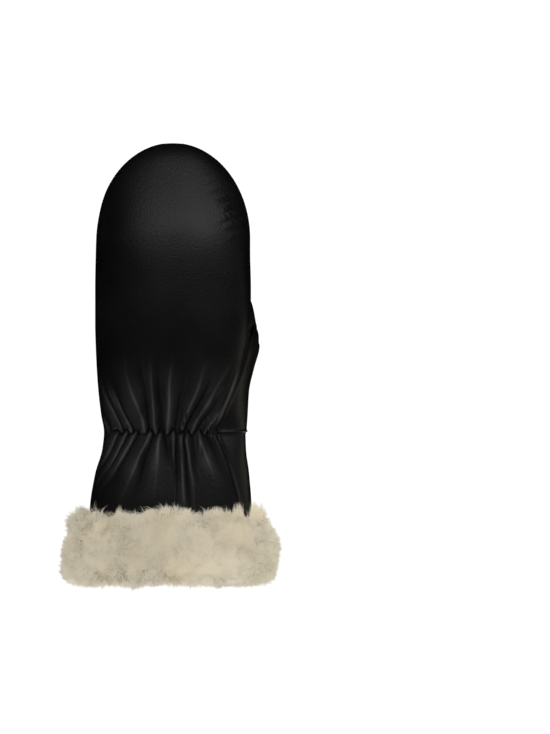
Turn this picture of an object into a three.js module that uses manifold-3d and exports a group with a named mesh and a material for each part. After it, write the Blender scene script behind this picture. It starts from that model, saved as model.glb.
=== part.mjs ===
// A winter mitten for the left hand, in smooth black leather with a cream pile lining that is turned
// out over the hem as a deep cuff. It lies palm down, with the thumb folded flat under the palm.
// X runs across the hand with the thumb side at +X, Y runs from the cuff to the fingertips, Z is up.
import * as THREE from "three";
import { mergeVertices } from "three/addons/utils/BufferGeometryUtils.js";
import Module from "manifold-3d";

const wasm = await Module();
wasm.setup();

// Driving dimensions, in millimetres.
const HAND_LENGTH = 202; // elastic line to fingertip
const TIP_LENGTH = 67; // the rounded end of the hand
const HAND_WIDTH = 108;
const HAND_THICKNESS = 33;
const GAUNTLET_LENGTH = 100; // elastic line to the leather's hem
const CROTCH_HEIGHT = 64; // elastic line to the fork of thumb and palm
const THUMB_LENGTH = 76; // fork to thumb tip
const THUMB_TIP_LENGTH = 17;
const THUMB_THICKNESS = 23;
const THUMB_CLEARANCE = 1.4; // between the thumb and the palm that lies on it
const THUMB_SQUASH = 1.5; // how far the table flattens the thumb
const LEATHER = 1.6;
const SEAM_GAP = 0.4;
const CUFF_CLEARANCE = 0.9; // between the turned-out band and the leather under it
const WRIST_STEP = 1; // the palm's leather stands this far over the gauntlet's
const GATHER_HEIGHT = 2.6;
const GATHER_WIDTH = 2.6;
const ELASTIC_PINCH = 1.2;
const ELASTIC_WIDTH = 3;
const PALM_CREASE = 1.6;
const LINING_PILE = 6;
const LINING_CLEARANCE = 0.5;
const LINING_LENGTH = 44; // how far the lining runs past the elastic line
const CUFF_TURN = 56; // height of the turned-out band
const CUFF_PILE = 16;
const FOLD_DEPTH = 8; // the fold stands this far below the leather's hem
const LOCK_LENGTH = 11;
const LOCK_WIDTH = 23;

// Shape settings without a size of their own.
const SQUARENESS = 0.8; // below 1 a section is fuller than an ellipse
const THUMB_SLOPE = 15; // run over which the palm climbs onto the thumb
const THENAR_SLOPE = 13; // run over which the thumb's root drops to the table
const DROOP_LENGTH = 34; // run over which the hand comes down past the thumb tip
const THUMB_TOP = 4.5; // where, inside the thumb's edge, the palm has reached the thumb's height
const LOCK_TAPER = 0.5; // a lock's tip against its foot
const FREE_SHOULDER = 0.8; // the most that the thumb's back rises at its side, by THUMB_THICKNESS
const LOCK_LEAN_SPREAD = 0.5;
const LOCK_LENGTH_SPREAD = 0.5;
const LOCK_BEND = 0.4; // the most that a lock's tip stands to one side, as a share of its length
const BEND_WEIGHT = 9; // the length of flat leather that takes as many facets as one radian of bend
const WALL_LEAN = 0.8; // how far a sloping wall's inner side is set across, as a share of its inset
const LAST_TIP_ANGLE = THREE.MathUtils.degToRad(84);

// The fingers rest on the thumb, so the crown of the back is as high as both together.
const BODY_HEIGHT = THUMB_THICKNESS + THUMB_CLEARANCE + HAND_THICKNESS;
const HALF_WIDTH = HAND_WIDTH / 2;
const TIP_START = HAND_LENGTH - TIP_LENGTH;
const THUMB_TIP_START = THUMB_LENGTH - THUMB_TIP_LENGTH;
const WELT = 0.035 * HALF_WIDTH; // the seam from the thumb's outer side down to the wrist
const FOLD_END = -GAUNTLET_LENGTH - FOLD_DEPTH;

// Sections of hand and gauntlet. along is a share of HAND_LENGTH above the elastic line and of
// GAUNTLET_LENGTH below it. left, right and seam are shares of HALF_WIDTH: the two sides, and the
// back panel's edge on the thumb side. The other columns are heights, as shares of BODY_HEIGHT.
const SECTION_COLUMNS = [
  "along", "left", "right", "seam", "crown", "leftEdge", "rightEdge", "sole", "heel",
];
const SECTIONS = [
  [-1.0, 1.07, 1.05, 0.92, 0.84, 0.54, 0.54, 0.25, 0.25],
  [-0.55, 1.075, 1.035, 0.885, 0.83, 0.53, 0.53, 0.25, 0.25],
  [-0.3, 1.01, 1.0, 0.78, 0.8, 0.52, 0.52, 0.25, 0.25],
  [-0.12, 0.9, 0.97, 0.67, 0.755, 0.5, 0.5, 0.25, 0.25],
  [0.0, 0.872, 0.97, 0.59, 0.72, 0.49, 0.47, 0.245, 0.22],
  [0.06, 0.91, 0.982, 0.68, 0.77, 0.485, 0.43, 0.23, 0.12],
  [0.14, 0.945, 1.0, 0.8, 0.82, 0.49, 0.37, 0.2, 0.02],
  [0.22, 0.97, 1.065, 0.905, 0.865, 0.5, 0.3, 0.185, 0.0],
  [0.3, 0.985, 1.125, 0.975, 0.91, 0.515, 0.26, 0.18, 0.0],
  [0.37, 0.995, 1.01, 1.01, 0.95, 0.525, 0.68, 0.175, 0.0],
  [0.5, 0.995, 1.01, 1.01, 0.975, 0.53, 0.67, 0.16, 0.0],
  [0.62, 0.99, 1.0, 1.0, 0.975, 0.5, 0.62, 0.145, 0.0],
  [0.74, 0.985, 1.0, 1.0, 0.9, 0.44, 0.5, 0.07, 0.0],
  [0.86, 0.985, 1.0, 1.0, 0.77, 0.38, 0.4, -0.02, 0.0],
  [1.0, 0.985, 1.0, 1.0, 0.62, 0.33, 0.33, -0.03, 0.0],
].map((row) => Object.fromEntries(row.map((value, k) => [SECTION_COLUMNS[k], value])));

// Sections of the free thumb. along is a share of THUMB_LENGTH, the sides are shares of HALF_WIDTH.
// crown is the height of its top.
// shoulder is the height of its outer side, which rises to the fork, as a share of THUMB_THICKNESS.
const THUMB_SECTIONS = [
  { along: 0.0, left: 0.035, right: 1.12, crown: 0.92, shoulder: 1.45 },
  { along: 0.03, left: 0.035, right: 1.11, crown: 0.92, shoulder: 1.1 },
  { along: 0.07, left: 0.03, right: 1.1, crown: 0.94, shoulder: 0.8 },
  { along: 0.16, left: -0.005, right: 1.06, crown: 0.98, shoulder: 0.72 },
  { along: 0.34, left: -0.03, right: 0.91, crown: 1.0, shoulder: 0.57 },
  { along: 0.54, left: -0.046, right: 0.74, crown: 1.0, shoulder: 0.5 },
  { along: 0.71, left: -0.06, right: 0.6, crown: 1.0, shoulder: 0.5 },
  { along: 0.83, left: -0.065, right: 0.52, crown: 1.0, shoulder: 0.5 },
  { along: 1.0, left: -0.065, right: 0.5, crown: 1.0, shoulder: 0.5 },
];

// Ridges that fan out from the elastic line. foot and head are shares of HALF_WIDTH, reach is a
// share of HAND_LENGTH above the line and of GAUNTLET_LENGTH below it, rise one of GATHER_HEIGHT.
const RIDGES_ABOVE = [
  { foot: -0.78, head: -0.86, reach: 0.06, rise: 0.7 },
  { foot: -0.62, head: -0.9, reach: 0.155, rise: 1.0 },
  { foot: -0.5, head: -0.67, reach: 0.125, rise: 0.7 },
  { foot: -0.363, head: -0.48, reach: 0.14, rise: 0.8 },
  { foot: -0.213, head: -0.287, reach: 0.19, rise: 0.9 },
  { foot: -0.04, head: 0.167, reach: 0.215, rise: 1.0 },
  { foot: 0.117, head: 0.555, reach: 0.225, rise: 0.9 },
  { foot: 0.272, head: 0.685, reach: 0.18, rise: 0.8 },
  { foot: 0.426, head: 0.843, reach: 0.155, rise: 0.9 },
];
const RIDGES_BELOW = [
  { foot: -0.72, head: -1.02, reach: 0.37, rise: 0.8 },
  { foot: -0.6, head: -0.9, reach: 0.42, rise: 0.7 },
  { foot: -0.45, head: -0.78, reach: 0.3, rise: 0.9 },
  { foot: -0.24, head: -0.54, reach: 0.34, rise: 1.0 },
  { foot: 0.026, head: 0.037, reach: 0.45, rise: 1.0 },
  { foot: 0.15, head: 0.2, reach: 0.48, rise: 0.8 },
  { foot: 0.324, head: 0.7, reach: 0.34, rise: 0.9 },
  { foot: 0.49, head: 0.82, reach: 0.55, rise: 0.8 },
];

// Creases across the palm. Places are shares of HALF_WIDTH and HAND_LENGTH.
const PALM_CREASES = [
  { fromX: -0.1, fromY: 0.54, toX: -0.6, toY: 0.4, width: 0.09 },
  { fromX: -0.12, fromY: 0.36, toX: -0.62, toY: 0.3, width: 0.07 },
  { fromX: -0.12, fromY: 0.2, toX: -0.42, toY: 0.08, width: 0.08 },
];

// The turned-out band in cross-section, from its free upper edge round the fold into the mouth.
// out is a share of CUFF_PILE away from the leather, down a share of CUFF_TURN below the edge.
const CUFF_BAND = [
  { out: 0.42, down: -0.03 },
  { out: 0.86, down: 0.07 },
  { out: 1.0, down: 0.3 },
  { out: 1.03, down: 0.6 },
  { out: 0.92, down: 0.83 },
  { out: 0.5, down: 0.96 },
];

// Rows of locks over the band. out and down are as above, lean tips a lock towards the fingers.
const LOCK_ROWS = [
  { out: 0.55, down: 0.08, lean: 0.6, count: 16 },
  { out: 0.9, down: 0.28, lean: 0.15, count: 16 },
  { out: 0.95, down: 0.52, lean: -0.1, count: 17 },
  { out: 0.9, down: 0.76, lean: -0.4, count: 16 },
  { out: 0.5, down: 0.9, lean: -1.2, count: 15 },
];

// How many facets the pieces have: across or round them, and along Y with the rounded tips.
const COLUMNS = { back: 34, thumbFront: 12, thumbBack: 8, gauntlet: 20, lining: 22, cuff: 32 };
const PALM_COLUMNS = { flat: 7, slope: 6, over: 7 };
const ROWS = { gauntlet: 10, root: 8, hand: 8, handTip: 8, thumb: 8, thumbTip: 6 };

const { lerp, clamp, smoothstep } = THREE.MathUtils;

// Reads one column of a table smoothly, without overshoot between its rows.
function reader(table, column) {
  const at = table.map((row) => row.along);
  const value = table.map((row) => row[column]);
  const secant = at.slice(1).map((x, k) => (value[k + 1] - value[k]) / (x - at[k]));
  const slope = value.map((_, k) => {
    const before = secant[Math.max(0, k - 1)];
    const after = secant[Math.min(secant.length - 1, k)];
    return before * after > 0 ? (2 * before * after) / (before + after) : 0;
  });
  return (share) => {
    const x = clamp(share, at[0], at[at.length - 1]);
    const k = clamp(at.findIndex((edge) => edge >= x) - 1, 0, secant.length - 1);
    const width = at[k + 1] - at[k];
    const t = (x - at[k]) / width;
    const rest = 1 - t;
    return (
      value[k] * (1 + 2 * t) * rest * rest +
      value[k + 1] * (3 - 2 * t) * t * t +
      slope[k] * width * t * rest * rest -
      slope[k + 1] * width * rest * t * t
    );
  };
}

const columnsOf = (table) =>
  Object.fromEntries(Object.keys(table[0]).map((name) => [name, reader(table, name)]));
const hand = columnsOf(SECTIONS);
const thumb = columnsOf(THUMB_SECTIONS);
const alongHand = (y) => y / (y > 0 ? HAND_LENGTH : GAUNTLET_LENGTH);

// A station is a place along Y. Past the start of a rounded tip it is an angle of that tip, so
// that inner and outer walls keep their distance there.
const taperOf = (angle) => ({
  width: Math.cos(angle),
  height: Math.pow((Math.cos(angle) - Math.cos(LAST_TIP_ANGLE)) / (1 - Math.cos(LAST_TIP_ANGLE)), SQUARENESS),
});
const tipStations = (start, count) =>
  Array.from({ length: count }, (_, k) => ({ y: start, angle: (LAST_TIP_ANGLE * (k + 1)) / count }));
const placesFrom = (from, to, count, power = 1) =>
  Array.from({ length: count + 1 }, (_, k) => lerp(from, to, Math.pow(k / count, power)));
const stationsAt = (places) => places.map((y) => ({ y, angle: 0 }));

// Pieces that meet along a seam share these places, which lie closer together near the elastic.
const gauntletPlaces = placesFrom(0, -GAUNTLET_LENGTH, ROWS.gauntlet, 1.5).reverse();
const rootPlaces = placesFrom(0, CROTCH_HEIGHT, ROWS.root, 1.3);
const handPlaces = placesFrom(CROTCH_HEIGHT, TIP_START, ROWS.hand, 1.3);

// How far, from 0 to 1, the palm has risen onto the thumb: from just below the fork to past its tip.
function riseAt(y) {
  const tip = CROTCH_HEIGHT + THUMB_LENGTH;
  const past = smoothstep(y, tip, tip + DROOP_LENGTH);
  return smoothstep(y, CROTCH_HEIGHT - THUMB_SLOPE, CROTCH_HEIGHT) * (1 - past);
}

// Where across the hand the palm, climbing from the far side, has reached the thumb's height.
function slopeTop(y) {
  const side = thumb.left((y - CROTCH_HEIGHT) / THUMB_LENGTH) * HALF_WIDTH;
  return side + THUMB_TOP * smoothstep(y, CROTCH_HEIGHT, CROTCH_HEIGHT + THUMB_SLOPE);
}

// The underside of the hand alone.
function palmHeight(x, y) {
  const low = hand.sole(alongHand(y)) * BODY_HEIGHT;
  const top = slopeTop(y);
  return lerp(low, THUMB_THICKNESS + THUMB_CLEARANCE, riseAt(y) * smoothstep(x, top - THUMB_SLOPE, top));
}

// The underside below the fork, where the thumb's root is one with the palm. At the fork its edge
// tucks under the palm's.
function soleHeight(x, y, inset) {
  if (x < WELT) return palmHeight(x, y) + inset;
  const from = palmHeight(WELT, y) - (LEATHER + SEAM_GAP) * riseAt(y);
  const heel = hand.heel(alongHand(y)) * BODY_HEIGHT;
  const run = lerp(THENAR_SLOPE, THUMB_TOP, riseAt(y));
  return lerp(from, heel, smoothstep(x - WALL_LEAN * inset, WELT, WELT + run)) + inset;
}

// The whole section at a station, set in by a distance: a closed loop of left, top, right, bottom.
function shellLoop(station, inset = 0) {
  const y = station.y + (TIP_LENGTH - inset) * Math.sin(station.angle);
  const at = alongHand(y);
  const taper = taperOf(station.angle);
  const left = -hand.left(at) * HALF_WIDTH;
  const right = hand.right(at) * HALF_WIDTH;
  return {
    y,
    inset,
    taper: taper.height,
    centre: (left + right) / 2,
    half: ((right - left) / 2 - inset) * taper.width,
    leftEdge: hand.leftEdge(at) * BODY_HEIGHT,
    rightEdge: hand.rightEdge(at) * BODY_HEIGHT,
    crown: hand.crown(at) * BODY_HEIGHT - inset,
    sole: (x) => soleHeight(x, y, inset),
  };
}

// The point of a loop at a turn: 0 is the thumb side, a quarter turn the top, a half the far side.
function pointAt(loop, turn) {
  const c = Math.cos(turn);
  const s = Math.sin(turn);
  const across = Math.sign(c) * Math.pow(Math.abs(c), SQUARENESS);
  const x = loop.centre + loop.half * across;
  const edge = lerp(loop.leftEdge, loop.rightEdge, (across + 1) / 2);
  const far = s >= 0 ? loop.crown : loop.sole(x);
  const z = edge + (far - edge) * loop.taper * Math.pow(Math.abs(s), SQUARENESS);
  return new THREE.Vector3(x, loop.y, Math.max(z, loop.inset));
}

// The turn at which a loop's upper or lower half passes an x.
function turnAt(loop, x, half) {
  const across = clamp((x - loop.centre) / loop.half, -1, 1);
  const turn = Math.acos(Math.sign(across) * Math.pow(Math.abs(across), 1 / SQUARENESS));
  return half === "upper" ? turn : 2 * Math.PI - turn;
}

const seamX = (y) => hand.seam(alongHand(y)) * HALF_WIDTH;

// The turn of a loop at the back panel's seam: its thumb side, once no strip stands out past it.
function seamTurn(loop, shift = 0) {
  const strip = hand.right(alongHand(loop.y)) * HALF_WIDTH - seamX(loop.y);
  return strip > LEATHER ? turnAt(loop, seamX(loop.y) + shift, "upper") : 0;
}

// The hand without the thumb's root: its thumb side is the back panel's seam, whose edge it passes
// under as long as there is a root.
function handLoop(station, inset = 0) {
  const loop = shellLoop(station, inset);
  const under = shellLoop(station, LEATHER);
  const turn = seamTurn(under);
  const right = turn ? seamX(loop.y) - SEAM_GAP : hand.right(alongHand(loop.y)) * HALF_WIDTH;
  const left = -hand.left(alongHand(loop.y)) * HALF_WIDTH;
  if (turn) loop.rightEdge = pointAt(under, turn).z - SEAM_GAP;
  loop.centre = (left + right) / 2;
  loop.half = ((right - left) / 2 - inset) * taperOf(station.angle).width;
  loop.sole = (x) => {
    const outer = palmHeight(x + WALL_LEAN * inset, loop.y);
    return outer + inset + PALM_CREASE * creaseAt(x, loop.y);
  };
  return loop;
}

function thumbLoop(station, inset = 0) {
  const y = station.y + (THUMB_TIP_LENGTH - inset) * Math.sin(station.angle);
  const at = (y - CROTCH_HEIGHT) / THUMB_LENGTH;
  const taper = taperOf(station.angle);
  const left = thumb.left(at) * HALF_WIDTH;
  const right = thumb.right(at) * HALF_WIDTH;
  return {
    y,
    inset,
    taper: taper.height,
    centre: (left + right) / 2,
    half: ((right - left) / 2 - inset) * taper.width,
    leftEdge: THUMB_THICKNESS / 2,
    rightEdge: thumb.shoulder(at) * THUMB_THICKNESS,
    crown: thumb.crown(at) * THUMB_THICKNESS - inset,
    sole: () => inset - THUMB_SQUASH,
  };
}

// Turns that divide a stretch of a loop evenly, by its length and by how far it bends.
function evenTurns(loop, from, to, count) {
  const SAMPLES = 96;
  const turns = Array.from({ length: SAMPLES + 1 }, (_, k) => lerp(from, to, k / SAMPLES));
  const points = turns.map((turn) => pointAt(loop, turn));
  const lengths = [0];
  for (let k = 1; k <= SAMPLES; k++) {
    const step = points[k].clone().sub(points[k - 1]);
    const before = points[Math.max(1, k - 1)].clone().sub(points[Math.max(1, k - 1) - 1]);
    const bend = step.lengthSq() && before.lengthSq() ? step.angleTo(before) : 0;
    lengths.push(lengths[k - 1] + step.length() + BEND_WEIGHT * bend);
  }
  return Array.from({ length: count + 1 }, (_, k) => {
    const target = (lengths[SAMPLES] * k) / count;
    const next = k === count ? SAMPLES : Math.max(1, lengths.findIndex((length) => length >= target));
    const step = lengths[next] - lengths[next - 1];
    const part = step > 0 ? clamp((target - lengths[next - 1]) / step, 0, 1) : 0;
    return lerp(turns[next - 1], turns[next], part);
  });
}

const strip = (loop, from, to, count) => evenTurns(loop, from, to, count).map((turn) => pointAt(loop, turn));

// How far the gathered leather of the back stands out at a place.
function gatherAt(x, y) {
  const above = y >= 0;
  const span = above ? HAND_LENGTH : GAUNTLET_LENGTH;
  const rise = (above ? RIDGES_ABOVE : RIDGES_BELOW).reduce((sum, ridge) => {
    const t = Math.abs(y) / (ridge.reach * span);
    if (t >= 1) return sum;
    const spine = lerp(ridge.foot, ridge.head, t) * HALF_WIDTH;
    const away = (x - spine) / (GATHER_WIDTH * (1 + t));
    const fade = smoothstep(t, -0.12, 0.1) * (1 - smoothstep(t, 0.35, 1));
    return sum + ridge.rise * fade * Math.exp(-away * away);
  }, 0);
  return GATHER_HEIGHT * Math.min(rise, 1.2) - ELASTIC_PINCH * Math.exp(-((y / ELASTIC_WIDTH) ** 2));
}

// How deep the palm's creases are at a place, as a share of PALM_CREASE.
function creaseAt(x, y) {
  return PALM_CREASES.reduce((sum, crease) => {
    const from = new THREE.Vector2(crease.fromX * HALF_WIDTH, crease.fromY * HAND_LENGTH);
    const run = new THREE.Vector2(crease.toX * HALF_WIDTH, crease.toY * HAND_LENGTH).sub(from);
    const place = new THREE.Vector2(x, y).sub(from);
    const t = clamp(place.dot(run) / run.lengthSq(), 0, 1);
    const away = place.sub(run.multiplyScalar(t)).length() / (crease.width * HALF_WIDTH);
    return sum + Math.exp(-away * away) * (1 - 0.6 * t);
  }, 0);
}

// Moves a point of the back panel out along the section by the gathers' height.
function gathered(loop, turn) {
  const point = pointAt(loop, turn);
  const fromSeam = smoothstep(seamX(point.y) - point.x, 0, 2 * GATHER_WIDTH);
  const fromFarSide = smoothstep(Math.PI - turn, 0, 0.3);
  const out = new THREE.Vector3(Math.cos(turn), 0, Math.sin(turn));
  return point.addScaledVector(out, fromSeam * fromFarSide * gatherAt(point.x, point.y));
}

// A closed geometry from a list of triangle corners, turned so that its faces point out.
function closed(corners) {
  let volume = 0;
  for (let k = 0; k < corners.length; k += 3) {
    volume += corners[k].dot(new THREE.Vector3().crossVectors(corners[k + 1], corners[k + 2]));
  }
  if (volume < 0) {
    corners.reverse();
  }
  return mergeVertices(new THREE.BufferGeometry().setFromPoints(corners), 1e-4);
}

// Joins an outer grid and an inner grid, as fine or half as fine, into one wall. has says which
// cells of the inner grid exist, and an open edge gets a rim.
function wall(outer, inner, has = () => true) {
  const fine = (outer.length - 1) / (inner.length - 1);
  const corners = [];
  const face = (...points) => {
    for (let k = 1; k < points.length - 1; k++) corners.push(points[0], points[k], points[k + 1]);
  };
  const rows = inner.length - 1;
  const columns = inner[0].length - 1;
  const present = (i, j) => i >= 0 && j >= 0 && i < rows && j < columns && has(i, j);
  for (let i = 0; i < rows; i++) {
    for (let j = 0; j < columns; j++) {
      if (!present(i, j)) continue;
      for (let r = fine * i; r < fine * (i + 1); r++) {
        for (let c = fine * j; c < fine * (j + 1); c++) {
          face(outer[r][c], outer[r + 1][c], outer[r + 1][c + 1], outer[r][c + 1]);
        }
      }
      face(inner[i][j], inner[i][j + 1], inner[i + 1][j + 1], inner[i + 1][j]);
      const ring = [[i, j], [i + 1, j], [i + 1, j + 1], [i, j + 1]];
      const beyond = [[i, j - 1], [i + 1, j], [i, j + 1], [i - 1, j]];
      ring.forEach(([r, c], side) => {
        if (present(...beyond[side])) return;
        const [r2, c2] = ring[(side + 1) % 4];
        const edge = [outer[fine * r][fine * c], outer[fine * r2][fine * c2]];
        if (fine === 2) edge.splice(1, 0, outer[r + r2][c + c2]);
        const last = edge.pop();
        face(...edge.reverse(), inner[r][c], inner[r2][c2], last);
      });
    }
  }
  return closed(corners);
}

// Builds a wall from a function that gives one row of points at a station and an inset. Its inner
// side takes every point or every second one.
function shell(stations, rowAt, every = 2, has = undefined) {
  const taken = (_, k) => k % every === 0;
  const outer = stations.map((station) => rowAt(station, 0));
  const inner = stations.filter(taken).map((station) => rowAt(station, LEATHER).filter(taken));
  return wall(outer, inner, has);
}

function backPanel() {
  const stations = [
    ...stationsAt([...gauntletPlaces, ...rootPlaces.slice(1), ...handPlaces.slice(1)]),
    ...tipStations(TIP_START, ROWS.handTip),
  ];
  return shell(stations, (station, inset) => {
    const loop = shellLoop(station, inset);
    loop.leftEdge += SEAM_GAP / 2;
    loop.rightEdge += SEAM_GAP / 2;
    const start = seamTurn(loop, -SEAM_GAP / 2);
    return evenTurns(loop, start, Math.PI, COLUMNS.back).map((turn) => gathered(loop, turn));
  });
}

const sewnRoot = rootPlaces.map((y) => Math.max(y, SEAM_GAP / 2));

// One row of the palm: from the far seam over its flat, up the slope and on over the thumb. Below
// the fork the slope's end is the seam down the thumb's outer side.
function palmRow(station, inset) {
  const loop = handLoop(station, inset);
  loop.leftEdge -= SEAM_GAP / 2;
  loop.rightEdge -= SEAM_GAP;
  const end = loop.y > CROTCH_HEIGHT ? slopeTop(loop.y) - WALL_LEAN * inset : WELT - SEAM_GAP / 2;
  const [foot, top] = [end - THUMB_SLOPE, end].map((x) => {
    const tapered = loop.centre + (x - loop.centre) * taperOf(station.angle).width;
    return turnAt(loop, tapered, "lower");
  });
  return [
    ...strip(loop, Math.PI, foot, PALM_COLUMNS.flat),
    ...strip(loop, foot, top, PALM_COLUMNS.slope).slice(1),
    ...strip(loop, top, 2 * Math.PI, PALM_COLUMNS.over).slice(1),
  ];
}

function palmPanel() {
  const stations = [
    ...stationsAt([...sewnRoot, ...handPlaces.slice(1)]),
    ...tipStations(TIP_START, ROWS.handTip),
  ];
  const leftColumns = PALM_COLUMNS.flat + PALM_COLUMNS.slope;
  return shell(stations, palmRow, 1, (row, column) => row >= rootPlaces.length - 1 || column < leftColumns);
}

const freeThumbStations = [
  ...stationsAt(placesFrom(CROTCH_HEIGHT, CROTCH_HEIGHT + THUMB_TIP_START, ROWS.thumb, 1.8)),
  ...tipStations(CROTCH_HEIGHT + THUMB_TIP_START, ROWS.thumbTip),
];

// The thumb's front: below the fork it is the ball of the thumb, above it the thumb's underside.
function thumbFront() {
  const stations = [...stationsAt(sewnRoot), ...freeThumbStations.slice(1)];
  const rowAt = (station, inset) => {
    const root = station.y <= CROTCH_HEIGHT;
    const loop = root ? shellLoop(station, inset) : thumbLoop(station, inset);
    if (!root) {
      loop.leftEdge -= SEAM_GAP / 2;
      loop.rightEdge -= SEAM_GAP / 2;
      return strip(loop, Math.PI, 2 * Math.PI, COLUMNS.thumbFront);
    }
    const from = turnAt(loop, WELT + SEAM_GAP / 2, "lower");
    return strip(loop, from, 2 * Math.PI + seamTurn(loop, SEAM_GAP), COLUMNS.thumbFront);
  };
  return shell(stations, rowAt, 1);
}

// The thumb's back, which faces the palm. Its first row follows the palm's underside at the fork.
// Near there its outer edge is tucked inside the thumb's front.
function thumbBack() {
  return shell(freeThumbStations, (station, inset) => {
    if (station.y <= CROTCH_HEIGHT) {
      const palm = handLoop(station);
      const start = turnAt(palm, seamX(palm.y) - LEATHER, "lower");
      const end = turnAt(palm, WELT + 2 * LEATHER + 2 * SEAM_GAP, "lower");
      const row = strip(palm, start, end, COLUMNS.thumbBack);
      return row.map((point) => point.setZ(point.z - THUMB_CLEARANCE - inset));
    }
    const loop = thumbLoop(station, inset);
    const tuck = 1 - smoothstep(loop.y, CROTCH_HEIGHT + THUMB_SLOPE / 2, CROTCH_HEIGHT + THUMB_SLOPE);
    const narrower = 2 * LEATHER * tuck;
    loop.centre -= narrower / 2;
    loop.half -= narrower / 2;
    loop.leftEdge += SEAM_GAP / 2;
    loop.rightEdge = Math.min(loop.rightEdge, FREE_SHOULDER * THUMB_THICKNESS) + SEAM_GAP / 2;
    return strip(loop, 0, Math.PI, COLUMNS.thumbBack);
  }, 1);
}

function gauntletPalm() {
  const places = gauntletPlaces.map((y) => Math.min(y, -SEAM_GAP / 2));
  return shell(stationsAt(places), (station, inset) => {
    const step = WRIST_STEP * smoothstep(station.y, -GAUNTLET_LENGTH / 4, 0);
    const loop = shellLoop(station, inset + step);
    loop.leftEdge -= SEAM_GAP / 2;
    const end = 2 * Math.PI + seamTurn(loop, (SEAM_GAP + step) / 2);
    return strip(loop, Math.PI, end, COLUMNS.gauntlet);
  });
}

// A sleeve of even sections round the whole loop, closed on itself.
function sleeve(profile, around) {
  const rings = profile.map(({ y, inset }) => {
    const loop = shellLoop({ y, angle: 0 }, inset);
    loop.inset = Math.max(inset, 0);
    return strip(loop, 0, 2 * Math.PI, around).slice(0, around);
  });
  const corners = [];
  rings.forEach((ring, i) => {
    const next = rings[(i + 1) % rings.length];
    ring.forEach((point, j) => {
      const k = (j + 1) % around;
      corners.push(point, next[j], next[k], point, next[k], ring[k]);
    });
  });
  return closed(corners);
}

const LINING_OUTSIDE = LEATHER + ELASTIC_PINCH + LINING_CLEARANCE + WRIST_STEP;
const LINING_INSIDE = LINING_OUTSIDE + LINING_PILE;
const LINING_START = -GAUNTLET_LENGTH + FOLD_DEPTH;

function lining() {
  const from = LINING_START + SEAM_GAP;
  const sewn = [...gauntletPlaces, ...rootPlaces.slice(1)].filter((_, k) => k % 2 === 0);
  const places = [from, ...sewn.filter((y) => y > from && y < LINING_LENGTH), LINING_LENGTH];
  return sleeve(
    [
      ...places.map((y) => ({ y, inset: LINING_OUTSIDE })),
      ...places.reverse().map((y) => ({ y, inset: LINING_INSIDE })),
    ],
    COLUMNS.lining,
  );
}

const cuffEdge = FOLD_END + CUFF_TURN;

function solid(geometry) {
  const bare = geometry.index ? geometry.toNonIndexed() : geometry.clone();
  const placed = new THREE.BufferGeometry().setAttribute("position", bare.getAttribute("position"));
  const merged = mergeVertices(placed, 1e-4);
  return new wasm.Manifold(
    new wasm.Mesh({
      numProp: 3,
      vertProperties: merged.attributes.position.array,
      triVerts: new Uint32Array(merged.index.array),
    }),
  );
}

function geometryOf(manifold) {
  const mesh = manifold.getMesh();
  return new THREE.BufferGeometry()
    .setAttribute("position", new THREE.BufferAttribute(new Float32Array(mesh.vertProperties), 3))
    .setIndex(new THREE.BufferAttribute(new Uint32Array(mesh.triVerts), 1));
}

const largest = (manifold) =>
  manifold.decompose().reduce((best, part) => (part.volume() > best.volume() ? part : best));

// A repeatable number from 0 to 1 for the nth thing of a kind.
const varied = (n, kind) => {
  const wave = Math.sin(n * 12.9898 + kind * 78.233) * 43758.5453;
  return wave - Math.floor(wave);
};

// One lock of pile: a blunt five-sided tuft along +Y through the origin, with its tip bent to +X.
function lockGeometry(length, width, bend) {
  const tuft = new THREE.CylinderGeometry(LOCK_TAPER * (width / 2), width / 2, length, 5, 1);
  const places = tuft.getAttribute("position");
  for (let k = 0; k < places.count; k++) {
    if (places.getY(k) > 0) places.setX(k, places.getX(k) + bend * length);
  }
  return tuft;
}

// The locks of one row, spaced evenly round the band. None stands under it, on the table.
function lockRow(row, kind) {
  const y = cuffEdge - row.down * CUFF_TURN;
  const loop = shellLoop({ y, angle: 0 }, -row.out * CUFF_PILE);
  const start = (Math.PI * (kind % 2)) / row.count;
  const feet = strip(loop, start, start + 2 * Math.PI, row.count).slice(0, row.count);
  return feet.flatMap((foot, n) => {
    if (foot.z < LOCK_LENGTH) return [];
    const along = feet[(n + 1) % row.count].clone().sub(feet[(n + row.count - 1) % row.count]).normalize();
    const lean = row.lean + LOCK_LEAN_SPREAD * (varied(n, kind + 7) - 0.5);
    const out = new THREE.Vector3(along.z, lean, -along.x).normalize();
    const length = LOCK_LENGTH * (1 + LOCK_LENGTH_SPREAD * (varied(n, kind + 13) - 0.5));
    const tuft = lockGeometry(length, LOCK_WIDTH, 2 * LOCK_BEND * (varied(n, kind + 19) - 0.5));
    tuft.applyQuaternion(new THREE.Quaternion().setFromUnitVectors(new THREE.Vector3(0, 1, 0), out));
    return [tuft.translate(foot.x, foot.y, foot.z)];
  });
}

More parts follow.
